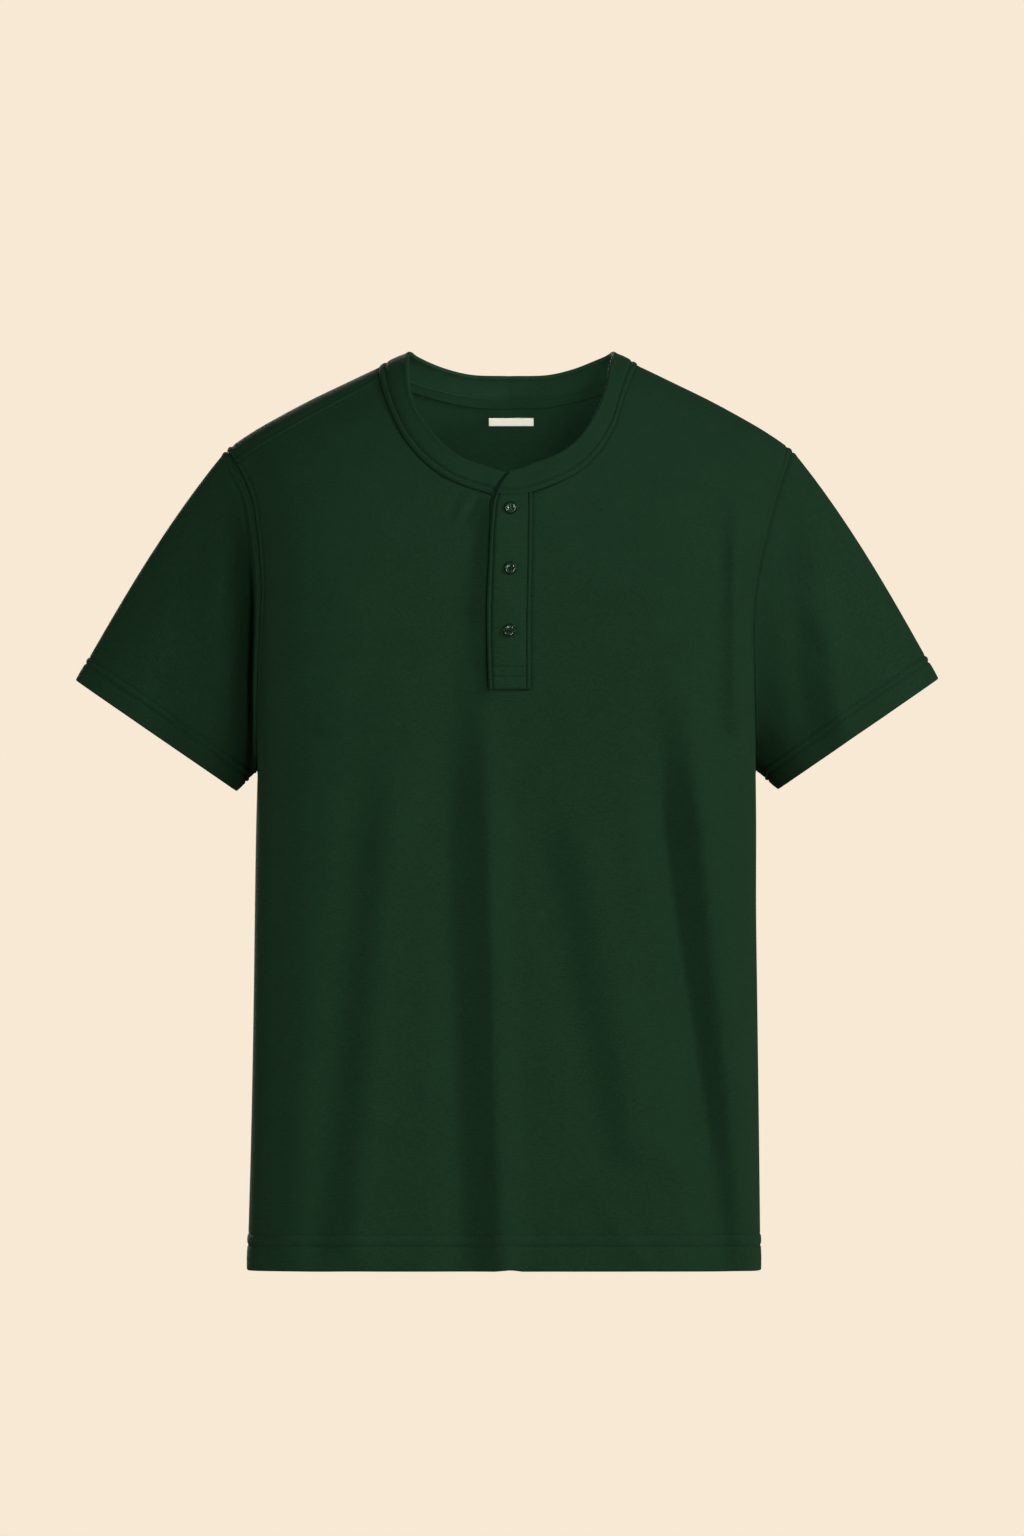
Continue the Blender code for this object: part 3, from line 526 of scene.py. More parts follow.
def armholeX(side, turn):
    x = side * np.full(np.shape(turn), 200.0)
    for _ in range(8):
        x = side * halfWidth(np.full(np.shape(turn), float(side)), ridge(x) - drop(turn))
    return x


def seamTurn(x):
    return np.where(x < 0, curve(shoulderSeam, 1, np.abs(x)), curve(shoulderSeam, 2, np.abs(x)))


def panelHalf(side, isFront, heights, shares):
    # One side of a panel, from its middle part out to the side seam and armhole
    sign = 1 if isFront else -1
    fine = 240                                # points along each row before it is cut into cells
    if isFront:
        startShare, start = form["slotHalf"] / 192, (slotLeft if side < 0 else slotRight)
    else:
        startShare, start = 0.0, (0.0 if side < 0 else neckAlong[-1])
    corner = cornerLeft if side < 0 else cornerRight
    cellsIn = panelSet["neckCells"] if isFront else panelSet["backNeckCells"] // 2
    # shares of the half width, as in the solids: equal steps of the angle
    cadCells = (10, 6) if isFront else (9, 6)
    u0 = 2 / np.pi * np.arcsin(startShare)
    uCorner = u0 + (1 - u0) * cadCells[0] / sum(cadCells)
    share = [np.sin(np.pi / 2 * np.linspace(u0, uCorner, fine)),
             np.sin(np.pi / 2 * (1 - (1 - uCorner) * np.linspace(1, 0, fine) ** 1.6))]
    mix = [np.linspace(0, 1, fine), 1 - np.linspace(1, 0, fine) ** 1.6]
    shift = sign * panelSet["seamHalfGap"]
    neckX, neckTurn = neckAt(start + (corner - start) * mix[0])
    endTurn = shoulderSeam[-1][1 if side < 0 else 2]
    seamX = neckX[-1] + (float(armholeX(side, np.array(float(endTurn)))) - neckX[-1]) * mix[1]
    seamT = seamTurn(seamX) + shift
    neckTurn = neckTurn.copy()
    neckTurn[-1] = seamT[0]
    topX, topTurn = [neckX, seamX], [neckTurn, seamT]
    lowZ = heights[-1]
    lowTurn = [sign * turnTo(side * s * halfWidth(np.full(s.shape, float(side)), lowZ), lowZ) for s in share]
    edges = np.array(panelSet["edgeSteps"])[::-1]
    rowsX, rowsTurn = [], []

    def addRow(xs, turns):
        outX, outTurn = [], []
        for part in (0, 1):
            line = np.column_stack([xs[part], turns[part], measured(cloth(xs[part], turns[part]))])
            length = line[-1, -1]
            if part == 0 and isFront:
                width, step = panelSet["besidePlacket"]
                close = np.arange(0, width, step)
                rest = np.linspace(len(close) * step, length, cellsIn + 2 - len(close))
                at = np.concatenate([close, rest])[:cellsIn + 1]
                at[-1] = length
            elif part == 0:
                at = np.linspace(0, length, cellsIn + 1)
            else:
                at = np.concatenate([np.linspace(0, length - edges[0], panelSet["shoulderCells"] - 2)[:-1],
                                     length - edges])
            got = resample(line, at)
            outX.append(got[(part > 0):, 0])
            outTurn.append(got[(part > 0):, 1])
        rowsX.append(np.concatenate(outX))
        rowsTurn.append(np.concatenate(outTurn))

    for z in heights:
        xs = [side * s * halfWidth(np.full(s.shape, float(side)), z) for s in share]
        addRow(xs, [sign * turnTo(x, z) for x in xs])
    for w0, short in shares:
        xs, turns = [], []
        for part in (0, 1):
            w = w0 - short / np.abs(topTurn[part] - lowTurn[part])
            edgeTurn = lowTurn[1][-1] * (1 - w) + topTurn[1][-1] * w
            wide = np.abs(armholeX(side, edgeTurn))
            topShare = topX[part] / abs(topX[1][-1])
            xs.append(wide * (side * share[part] * (1 - w) + topShare * w))
            turns.append(lowTurn[part] * (1 - w) + topTurn[part] * w)
        addRow(xs, turns)
    return np.array(rowsX), np.array(rowsTurn)


def panelRows():
    hem = np.array(panelSet["hemRows"])
    heights = form["hem"] + np.concatenate(
        [hem, np.linspace(hem[-1], form["armpit"] - form["hem"], panelSet["lowerRows"] + 1)[1:]])
    count = panelSet["upperRows"]
    # above the armpits each row is a share of the way up, less a length kept clear below the top edge
    even = (np.arange(1, count + 1) / count) ** 1.2
    shares = [(w, w * panelSet["topRows"][0]) for w in even]
    shares += [(1.0, short) for short in panelSet["topRows"][1:]]
    return heights, shares


def panelGrid(isFront):
    heights, shares = panelRows()
    leftX, leftTurn = panelHalf(-1, isFront, heights, shares)
    rightX, rightTurn = panelHalf(1, isFront, heights, shares)
    if isFront:
        mid = np.linspace(0, 1, panelSet["slotCells"] + 1)[1:-1]
        midX = leftX[:, :1] * (1 - mid) + rightX[:, :1] * mid
        midTurn = leftTurn[:, :1] * (1 - mid) + rightTurn[:, :1] * mid
        x = np.concatenate([leftX[:, ::-1], midX, rightX], axis=1)
        turn = np.concatenate([leftTurn[:, ::-1], midTurn, rightTurn], axis=1)
    else:
        x = np.concatenate([leftX[:, ::-1], rightX[:, 1:]], axis=1)
        turn = np.concatenate([leftTurn[:, ::-1], rightTurn[:, 1:]], axis=1)
    sign = 1 if isFront else -1
    outer = cloth(x, turn)
    outer[..., 1] -= sign * 0.1 * ease(30, 0, np.abs(outer[..., 1]))
    n = gridNormals(outer, (0, 0, -350))
    upper = len(heights) + 2
    n[upper:] = clothNormal(x[upper:], turn[upper:])
    # distances from the side or armhole edge, the hem and the top edge
    steps = np.linalg.norm(np.diff(outer, axis=1), axis=-1)
    fromLeft = np.concatenate([np.zeros((len(outer), 1)), np.cumsum(steps, axis=1)], axis=1)
    fromSide = np.minimum(fromLeft, fromLeft[:, -1:] - fromLeft)
    fromHem = np.broadcast_to((outer[..., 2].mean(axis=1) - form["hem"])[:, None], fromSide.shape)
    fall = np.linalg.norm(np.diff(outer, axis=0), axis=-1)
    fromTop = np.concatenate([np.cumsum(fall[::-1], axis=0)[::-1], np.zeros((1, outer.shape[1]))], axis=0)
    # the shoulder seams are stitched down on the back panel
    ends = panelSet["shoulderCells"] + len(panelSet["edgeSteps"]) - 4
    shoulder = np.zeros(fromSide.shape)
    shoulder[:, :ends], shoulder[:, -ends:] = 1, 1
    return {"outer": outer, "n": n, "x": x, "turn": turn, "side": fromSide, "hem": fromHem, "top": fromTop,
            "shoulder": shoulder, "stitched": shoulder * (not isFront), "ends": ends, "isFront": isFront,
            "armpitRow": len(heights) - 1, "heights": heights}


def dressPanel(panel):
    # Sewn detail: the turned hem and its needle lines, the seam valleys and the stitched lines beside them
    outer, n = panel["outer"], panel["n"]
    hem, side, top, shoulder = panel["hem"], panel["side"], panel["top"], panel["shoulder"]
    upper = np.zeros(hem.shape)
    upper[panel["armpitRow"]:] = 1
    x, z = panel["x"], outer[..., 2]
    left = ease(20, -20, x)
    stitch = panelSet["seamStitch"]
    out = 0.5 * ease(30.0, 28.4, hem)                      # doubled cloth stands a little proud
    out -= sum(depth * hump(hem, height, 0.9) for height, depth in panelSet["hemStitches"])
    out += 0.3 * hump(hem, 23.7, 3.0) + 0.25 * hump(hem, 9.0, 6.0)
    swell = (0.45 + 0.3 * left) * hump(side, 2.6, 1.5) * (0.3 + 0.7 * upper)
    out += swell - panelSet["armholeGroove"] * hump(side, stitch, 0.8) * upper
    groove = panelSet["shoulderGroove"] * hump(top, stitch, 0.8) * panel["stitched"]
    out += 0.4 * hump(top, 2.9, 1.6) * shoulder - groove
    # side, armhole, shoulder and neck seams
    neck = shoulder * 1.5 + (1 - shoulder) * (0.3 + 1.6 * left)
    valley = (panelSet["sideValley"] + 0.8 * left * upper) * hump(side, 0, 1.1) + neck * hump(top, 0, 1.3)
    valley *= 1 - 0.75 * hump(panel["turn"], 0, 26)        # shallow over the tops of the shoulders
    if panel["isFront"]:
        # the cloth is pressed in beside the placket
        beside = ease(-264, -260, z) * (z < -108)
        pressed = panelSet["placketValley"] * hump(x, placketLeft(z) - 0.5, 1.6)
        valley += beside * (pressed + 0.25 * hump(x, placketRight(z) + 0.5, 1.0))
    panel["dressed"] = outer + n * (out - valley)[..., None]
    wall = form["wall"] + (form["hemWall"] - form["wall"]) * ease(30.0, 28.0, hem) + 0.75 * valley
    inner = outer - n * wall[..., None]
    return roundEdge(panel["dressed"], inner, hem)


panels = {"front": panelGrid(True), "back": panelGrid(False)}
shirt = {}
for name in ("front", "back"):
    panel = panels[name]
    outer, inner = dressPanel(panel)
    keep = None
    if name == "front":
        keep = np.ones((outer.shape[0] - 1, outer.shape[1] - 1), bool)
        middle = outer.shape[1] // 2
        slot = slice(middle - panelSet["slotCells"] // 2, middle + panelSet["slotCells"] // 2)
        keep[outer[:-1, middle, 2] > form["slotBottom"], slot] = False
    shirt[name] = sheetMesh("shirt_" + name, outer, inner, jerseyCloth, keep=keep, coords=flatCoords(outer))
    print("made", name, len(shirt[name].data.polygons), "faces")

sleeveSet = {
    "left": (-273.6, -297.4, 75.3, 47.0), "right": (270.8, -296.1, 75.0, 47.0),   # hem oval
    "slant": (0.823, -0.568), "crest": 5.0, "round": 232, "rows": 66, "stitches": (15.4, 21.0),
    "hemSteps": [24, 22.6, 21.8, 21.0, 20.2, 19.2, 17.4, 16.2, 15.4, 14.6, 13.4, 11, 8, 5, 2.6, 1.2, 0.6,
                 0.25, 0],
    "seamSteps": [0, 0.3, 0.7, 1.3, 2.2, 3.4],
    "underarm": {"left": 0.06, "right": 0.2}, "creaseStart": {"left": 3.2, "right": 0},
    "seamValley": {"left": 1.3, "right": 0.8}, "seamSwell": {"left": 0.7, "right": 0.3},
    "tucks": [(-4.5, -1.9), (-2.5, -1.9), (-0.9, -1.85), (-0.1, -1.7), (0.02, -1.2)]}
sleeveCreases = [  # side, place round from the top, reach round, falls within, fades over, depth
    ("left", 0.62, 0.42, 3.4, 21.0, 36.0), ("right", 0.62, 0.34, 12.0, 40.0, 1.6),
    ("left", 1.42, 0.32, 9.0, 32.0, 13.0), ("right", 1.42, 0.32, 9.0, 32.0, 13.0)]
sleeveFolds = [  # side, place round from the top, reach round, middle and half length along, rise
    ("left", 0.36, 0.09, 0.45, 0.40, 3.4), ("right", 0.36, 0.07, 0.45, 0.40, 3.0),
    ("right", 0.28, 0.06, 0.50, 0.35, -1.2), ("left", 1.42, 0.10, 0.45, 0.40, 4.2),
    ("right", 1.60, 0.10, 0.45, 0.40, 4.0), ("left", 1.60, 0.08, 0.55, 0.35, -3.0),
    ("left", 0.24, 0.05, 0.62, 0.30, 0.9), ("left", 0.46, 0.05, 0.55, 0.30, 0.9),
    ("right", 0.20, 0.05, 0.62, 0.30, -0.8),
    ("right", 0.48, 0.05, 0.50, 0.35, 1.0), ("left", 1.30, 0.05, 0.6, 0.3, -1.0),
    ("right", 1.42, 0.05, 0.55, 0.3, 1.0)]


def sleeveGrid(side):
    front, back = panels["front"], panels["back"]
    row, column = front["armpitRow"], (0 if side == "left" else -1)
    ring, ringNormal = [np.concatenate([front[k][row:, column], back[k][row:, column][::-1][1:-1]])
                        for k in ("outer", "n")]
    # even steps round the armhole
    loop = np.concatenate([ring, ring[:1]])
    loopN = np.concatenate([ringNormal, ringNormal[:1]])
    length = measured(loop)
    at = np.linspace(0, length[-1], sleeveSet["round"], endpoint=False)
    start = np.stack([np.interp(at, length, loop[:, k]) for k in range(3)], axis=-1)
    normal = unit(np.stack([np.interp(at, length, loopN[:, k]) for k in range(3)], axis=-1))
    sign = -1 if side == "left" else 1
    beyond = unit(np.cross(np.roll(start, -1, axis=0) - np.roll(start, 1, axis=0), normal))
    beyond *= sign * np.sign(np.sum(beyond[:, 0]))
    x, z, halfLong, halfDeep = sleeveSet[side]             # middle of the hem oval and its halves
    slant = sleeveSet["slant"]
    towards = np.array([-sign * slant[0], 0, slant[1]])
    topOut = -towards
    top = at[np.argmax(start[:, 2] + 0.5 * sign * start[:, 0])]
    around = np.where(at <= top, 1 - at / top, 1 + (length[-1] - at) / (length[-1] - top))
    theta = around * np.pi
    low = ease(0.45, 0.8, np.minimum(around, 2 - around)) * sleeveSet["underarm"][side]
    deep = np.sign(np.sin(theta)) * np.abs(np.sin(theta)) ** (0.92 - low)      # fuller towards the underarm
    hem = (np.array([x, 0, z]) + np.outer(-np.cos(theta) * halfLong, towards)
           + np.outer(-deep * halfDeep, [0, 1, 0]))
    start = start + beyond * 0.12
    run = np.linalg.norm(hem - start, axis=1)
    steps = np.array(sleeveSet["hemSteps"])
    narrow = np.minimum(1, (run - 7) / steps[0])           # the hem narrows where the sleeve is shortest
    body = 1 - steps[0] * narrow / run
    seamSteps = sleeveSet["seamSteps"]
    rows = [seamStep / run for seamStep in seamSteps]
    rows += [(seamSteps[-1] / run) * (1 - k) + body * k for k in np.linspace(0, 1, sleeveSet["rows"])[1:-1]]
    rows += [1 - step * narrow / run for step in steps]
    grid = []
    for t in rows:
        line = start * (1 - t[:, None]) + hem * t[:, None]
        bow = sleeveSet["crest"] * np.sin(np.pi * np.clip(t, 0, 1) ** 0.8) * np.clip(np.cos(theta), 0, 1) ** 2
        line = line + np.outer(bow, topOut)
        for which, mid, reach, falls, fades, depth in sleeveCreases:
            if which == side:
                past = t * run
                pastSeam = np.maximum(past - sleeveSet["creaseStart"][side], 0)
                falling = 1 - np.exp(-((pastSeam / falls) ** 1.3))
                bump = depth * hump(around, mid, reach) * falling * hump(past, 0, fades)
                room = 0.72 * np.abs(line[:, 1]) + 1e-6
                line[:, 1] += room * np.tanh(bump / room) * np.sign(1 - around)
        for which, mid, reach, centre, span, rise in sleeveFolds:
            if which == side:
                bump = rise * hump(around, mid, reach) * hump(t, centre, span)
                line[:, 1] -= bump * ease(0, 0.3, t) * np.sign(1 - around)
        near = ease(2, 16, t * run) * ease(0, 14, np.abs(line[:, 1]))
        line[:, 1] -= np.where(around < 1, creased("sleeve front", line[:, 0], line[:, 2]), 0) * near
        line[:, 1] += np.where(around > 1, creased("sleeve back", line[:, 0], line[:, 2]), 0) * near
        grid.append(line)
    grid = np.array(grid)
    n = gridNormals(grid, (x * 0.9, 0, z + 60), ring=True)
    alongRows = np.median(np.linalg.norm(np.diff(grid, axis=0), axis=-1), axis=1)
    fromSeam = np.concatenate([[0], np.cumsum(alongRows)])
    fromSeam = np.broadcast_to(fromSeam[:, None], grid.shape[:2])
    own = ease(0.2, 3.0, fromSeam)[..., None]
    n = unit(n * own + normal * (1 - own))
    # the seam allowance, tucked beneath the panel
    tucks = sleeveSet["tucks"]
    tucked = np.array([start + beyond * a + normal * b for a, b in tucks])
    grid = np.concatenate([tucked, grid])
    n = np.concatenate([np.broadcast_to(normal, (len(tucks), *normal.shape)), n])
    fromSeam = np.concatenate([np.full((len(tucks), grid.shape[1]), 0.0), fromSeam])
    rowCount = len(rows) + len(tucks)
    fromHem = np.concatenate([np.full(rowCount - len(steps), 99.0), steps])
    fromHem = np.broadcast_to(fromHem[:, None], grid.shape[:2])
    out = 0.5 * ease(22.6, 21.4, fromHem)
    for height in sleeveSet["stitches"][::-1]:
        out = out - 1.1 * hump(fromHem, height, 0.8)
    out += 0.4 * hump(fromHem, 18.2, 1.8) + 0.2 * hump(fromHem, 7.5, 5.0)
    out -= sleeveSet["seamValley"][side] * hump(fromSeam, 0, 1.1)
    out += sleeveSet["seamSwell"][side] * hump(fromSeam, 3.0, 1.4)
    outer = grid + n * out[..., None]
    wall = form["wall"] + (form["hemWall"] - form["wall"]) * ease(22.6, 21.0, fromHem)
    inner = grid - n * wall[..., None]
    outer, inner = roundEdge(outer, inner, fromHem)
    return {"outer": outer, "inner": inner, "n": n, "fromHem": fromHem}


sleeves = {}
for side in ("left", "right"):
    sleeve = sleeveGrid(side)
    sleeves[side] = sleeve
    shirt["sleeve_" + side] = sheetMesh("shirt_sleeve_" + side, sleeve["outer"], sleeve["inner"], jerseyCloth,
                                        ring=True, coords=flatCoords(sleeve["outer"]))
    print("made sleeve", side, len(shirt["sleeve_" + side].data.polygons), "faces")

bandSet = {
    "step": 1.3, "under": 8.0, "over": 10.3, "stitch": 4.6, "groove": 1.1, "full": 0.9, "roll": 0.7,
    "pressed": 2.1, "endSteps": [0.12, 0.4, 0.8, 1.3],
    "rise": [0, 0.5, 1.5, 2.6, 3.6, 4.1, 4.6, 5.1, 5.6, 6.8, 8.4, 10, 11.6, 13.2, 14.8, 16.2, 17.4, 18.3,
             18.9, 19.3, 19.6, 19.8, 19.92, 20.0]}


def bandStations():
    middle, full = neckAlong[quarter], neckAlong[-1]
    count = int(round((middle + bandSet["under"]) / bandSet["step"]))
    under = np.linspace(middle + bandSet["under"], 0, count)        # round the left to the middle of the back
    count = int(round((full - middle + bandSet["over"]) / bandSet["step"]))
    over = np.linspace(full, middle - bandSet["over"], count)[1:]   # round the right to the lapped end
    ends = np.array(bandSet["endSteps"])
    under = np.concatenate([[under[0]], under[0] - ends, under[2:]])
    over = np.concatenate([over[:-2], over[-1] + ends[::-1], [over[-1]]])
    return under, over


def neckband():
    middle = neckAlong[quarter]
    under, over = bandStations()
    stations = np.concatenate([under, over])
    branch = np.array([0] * len(under) + [1] * len(over))
    x, turn = neckAt(stations)
    lapped = np.where(branch == 1, middle - stations, -99)
    topShift = np.interp(lapped, [-11, -4, 4, 10.3], [0, 2, 8, 13.2])
    low, high = cloth(x, turn), topAt(stations + topShift)
    near = np.abs(x)
    underFront, overFront = (branch == 0) & (turn > 30), (branch == 1) & (turn > 30)
    proud, onTop = form["bandProud"], form["bandWall"] + 0.5
    lift = np.where(underFront, proud * ease(18, 55, near), np.full(len(stations), proud))
    overLift = onTop * (1 - ease(18, 60, near)) + proud * ease(18, 60, near)
    lift = np.where(overFront, np.where(x < 18, onTop, overLift), lift)
    rise = np.array(bandSet["rise"])
    shares = rise / rise[-1]
    up = unit(high - low)
    low = low + up * 0.15
    grid = np.array([low * (1 - v) + high * v for v in shares])
    bulge = 1.2 * 4 * shares * (1 - shares)                  # the closing end is cut to a curve
    grid[..., 0] -= bulge[:, None] * ease(3, 10.3, lapped)
    n = gridNormals(grid, (0, -15, -60))
    atSeam = clothNormal(x, turn)
    for row, share in enumerate(shares):
        blend = np.clip(1 - share / 0.45, 0, 1)
        n[row] = n[row] * (1 - blend) + atSeam * blend
    n = unit(n)
    fromLow = np.broadcast_to(rise[:, None], grid.shape[:2])
    # a little uneven fullness, so the band doesn't look machined
    along = stations[None, :]
    ripple = 0.16 * np.sin(along / 17.0 + 1.2) + 0.10 * np.sin(along / 7.3) + 0.05 * np.sin(along / 3.1)
    out = lift[None, :] + (bandSet["full"] + ripple) * np.sin(np.pi * shares)[:, None]
    # the closing end presses the end beneath it
    toEnd = grid[..., 0] - (-10.6 + 12.0 * shares[:, None] - bulge[:, None])
    beneath = underFront[None, :] * hump(toEnd, -0.6, 1.8)
    roll = bandSet["roll"] * hump(fromLow, 18.6, 1.6)        # the folded top edge is a soft roll
    inner = grid + n * (out - form["bandWall"] - 1.2 * beneath - roll)[..., None]
    out = out - bandSet["groove"] * hump(fromLow, bandSet["stitch"], 0.8) + 0.4 * hump(fromLow, 2.2, 1.3)
    out = out + roll - bandSet["pressed"] * beneath
    outer = grid + n * out[..., None]
    fromStart = measured(outer[8])
    fromEnds = np.minimum(fromStart, fromStart[-1] - fromStart)[None, :]
    overPlacket = overFront * ease(22, 14, near)
    near = np.minimum(np.minimum(rise[-1] - fromLow, fromLow + 0.35 + 0.5 * overPlacket[None, :]), fromEnds)
    outer, inner = roundEdge(outer, inner, near)
    return {"outer": outer, "inner": inner, "n": n}


band = neckband()
shirt["neckband"] = sheetMesh("shirt_neckband", band["outer"], band["inner"], bandCloth,
                              coords=flatCoords(band["outer"]))
print("made neckband", len(shirt["neckband"].data.polygons), "faces")

placketSet = {
    "upper": (230, 44), "upperSize": (150.0, 33.0), "lower": (120, 20), "lowerSize": (140.0, 28.5),
    "lowerSides": (-14.5, 14.0), "lowerWall": 1.6, "topTuck": 2.2,
    "stitchLeft": 3.1, "stitchRight": 2.7, "sideGroove": 1.5,
    "boxLow": 10.2, "boxHigh": 17.6, "boxGroove": 0.85}
insideSet = {  # left, right and height of the tape; width, height and middle of the label
    "tape": (-82.0, 84.0, 8.2), "tapeTop": 2.8, "tapeWall": 0.9,
    "label": (35.0, 6.2, 1.7, -52.6), "labelWall": 0.8}
foldedEnds = [0, 0.1, 0.35, 0.8, 1.4]      # steps at a folded edge


def neckHeight(x):
    s = np.linspace(slotLeft - 30, slotRight + 30, 400)
    xs, turns = neckAt(s)
    return np.interp(x, xs, cloth(xs, turns)[:, 2])


def spacing(count, ends, length):
    # Shares of a length with close steps at both ends for the folded edges
    inner = np.linspace(ends[-1], length - ends[-1], count)
    return np.concatenate([ends[:-1], inner, length - np.array(ends[:-1])[::-1]]) / length


def held(value):
    return lambda at: value + 0 * at


def stripGrid(left, right, bottom, top, rows, columns, turnSign=1):
    # Each side is a function of height, the bottom and top are functions of the place across
    r, c = np.meshgrid(rows, columns, indexing="ij")
    x = np.zeros(r.shape)
    for _ in range(6):
        z = bottom(x) * (1 - r) + top(x) * r
        x = left(z) * (1 - c) + right(z) * c
    return x, turnSign * turnTo(x, z), z


def fromRowEnds(grid):
    # Distance of each point from the nearer end of its row
    steps = np.linalg.norm(np.diff(grid, axis=1), axis=-1)
    total = np.concatenate([np.zeros((len(grid), 1)), np.cumsum(steps, axis=1)], axis=1)
    return np.minimum(total, total[:, -1:] - total)


def stripPiece(name, grid, out, wall, finish):
    x, turn, _ = grid
    n = clothNormal(x, turn)
    base = cloth(x, turn)
    outer = base + n * np.asarray(out)[..., None]
    inner = base + n * (np.min(out) - wall)
    near = np.minimum(fromRowEnds(outer), fromRowEnds(np.swapaxes(outer, 0, 1)).T)
    outer, inner = roundEdge(outer, inner, near)
    shirt[name] = sheetMesh("shirt_" + name, outer, inner, finish, coords=flatCoords(outer))
    return outer, n


placketTop = lambda x: neckHeight(x) + placketSet["topTuck"]
rowCells, columnCells = placketSet["upper"]
long, wide = placketSet["upperSize"]
upperGrid = stripGrid(placketLeft, placketRight, held(form["placketBottom"]), placketTop,
                      spacing(rowCells, foldedEnds, long), spacing(columnCells, foldedEnds, wide))
px, _, pz = upperGrid
fromEdge = np.minimum(px - placketLeft(pz), placketRight(pz) - px)
fromFoot = pz - form["placketBottom"]
onLeft = px < 1
sideStitch = np.where(onLeft, placketSet["stitchLeft"], placketSet["stitchRight"])
upperOut = 0.4 + form["stripWall"] + 0.5 * ease(0, 6, fromEdge)
upperOut = upperOut + np.where(onLeft, 0.4, 0.65) * hump(fromEdge, 1.4, 0.9)
upperOut -= placketSet["sideGroove"] * hump(fromEdge, sideStitch, 0.7)
for height in (placketSet["boxLow"], placketSet["boxHigh"]):
    upperOut -= placketSet["boxGroove"] * hump(fromFoot, height, 0.7) * ease(2.5, 4, fromEdge)
upperOut += 0.12 * np.sin(pz / 9.0) * ease(2, 8, fromEdge)
upperOut -= 0.9 * ease(-0.6, 0.9, pz - neckHeight(px))          # tucked beneath the neckband
placketFace, placketNormal = stripPiece("placket_upper", upperGrid, upperOut, form["stripWall"], placketCloth)

rowCells, columnCells = placketSet["lower"]
long, wide = placketSet["lowerSize"]
lowerLeft, lowerRight = placketSet["lowerSides"]
lowerGrid = stripGrid(held(lowerLeft), held(lowerRight), held(form["slotBottom"] - 3), placketTop,
                      spacing(rowCells, foldedEnds, long), spacing(columnCells, foldedEnds, wide))
stripPiece("placket_lower", lowerGrid, -form["wall"] - 0.35, placketSet["lowerWall"], placketCloth)
print("made placket")

s = np.linspace(0, neckAlong[-1], 2001)
sx, sturn = neckAt(s)
onBack = sturn < -5
order = np.argsort(sx[onBack])
seamLine = cloth(sx[onBack], sturn[onBack])[order]
seamHeight = lambda x: np.interp(x, seamLine[:, 0], seamLine[:, 2])      # of the back neck seam
tapeLeft, tapeRight, tapeTall = insideSet["tape"]
tapeTop = lambda x: seamHeight(x) + insideSet["tapeTop"]
closeEnds = foldedEnds[:4]
tapeGrid = stripGrid(held(tapeLeft), held(tapeRight), lambda x: tapeTop(x) - tapeTall, tapeTop,
                     spacing(16, closeEnds, tapeTall), spacing(110, closeEnds, 170.0), -1)
stripPiece("neck_tape", tapeGrid, -form["wall"] - 0.9, insideSet["tapeWall"], tapeCloth)
labelWide, labelTall, labelX, labelZ = insideSet["label"]
labelGrid = stripGrid(held(labelX - labelWide / 2), held(labelX + labelWide / 2),
                      held(labelZ - labelTall / 2), held(labelZ + labelTall / 2),
                      spacing(10, closeEnds, labelTall), spacing(40, closeEnds, labelWide), -1)
stripPiece("neck_label", labelGrid, -form["wall"] - 0.4, insideSet["labelWall"], labelCloth)
print("made tape and label")

threadSet = {
    "pitch": 2.7, "long": 1.75, "thick": 0.25, "sides": 5,
    "shape": [  # place along the stitch, share of the thickness, rise
        (-0.5, 0.25, -0.30), (-0.36, 0.85, -0.02), (0, 1.0, 0.10), (0.36, 0.85, -0.02), (0.5, 0.25, -0.30)]}


def tubeFaces(base, rings, sides):
    # Faces of a closed tube of rings whose points are numbered from base
    faces = []
    for ring in range(rings - 1):
        for j in range(sides):
            a, b = base + ring * sides + j, base + ring * sides + (j + 1) % sides
            faces.append((a, b, b + sides, a + sides))
    faces.append(tuple(base + j for j in range(sides))[::-1])
    faces.append(tuple(base + (rings - 1) * sides + j for j in range(sides)))
    return faces


def stitchRow(path, normal, phase, base):
    # Short rounded threads along a line, each dipping into the cloth at its ends
    length = measured(path)
    centres = (np.arange(int(length[-1] / threadSet["pitch"])) + phase) * threadSet["pitch"]
    shape, sides = threadSet["shape"], threadSet["sides"]
    angles = np.arange(sides) * 2 * np.pi / sides
    points, faces = [], []
    at = lambda s, line=path: np.stack([np.interp(s, length, line[:, k]) for k in range(3)], axis=-1)
    for centre in centres:
        faces += tubeFaces(base + len(points), len(shape), sides)
        n = unit(at(centre, normal))
        for share, wide, raised in shape:
            place = at(centre + share * threadSet["long"])
            forward = unit(at(centre + 0.6) - at(centre - 0.6))
            sideways = np.cross(forward, n)
            thick = threadSet["thick"] * wide
            points += [place + n * (raised + thick * np.cos(a)) + sideways * thick * np.sin(a)
                       for a in angles]
    return points, faces


def stitching(name, lines):
    points, faces = [], []
    for k, (path, normal) in enumerate(lines):
        rowPoints, rowFaces = stitchRow(path, normal, 0.35 + 0.3 * (k % 2), len(points))
        points += rowPoints
        faces += rowFaces
    shirt[name] = makeObject(name, np.array(points), faces, threadPaintedShadeFinish)


def nearest(distances, wanted):
    return int(np.argmin(np.abs(distances - wanted)))


def hemRow(panel, height):
    row = nearest(panel["heights"], form["hem"] + height)
    return panel["dressed"][row, 1:-1], panel["n"][row, 1:-1]


def sleeveRow(sleeve, height):
    row = nearest(sleeve["fromHem"][:, 0], height)
    path = np.concatenate([sleeve["outer"][row], sleeve["outer"][row][:1]])
    return path, np.concatenate([sleeve["n"][row], sleeve["n"][row][:1]])


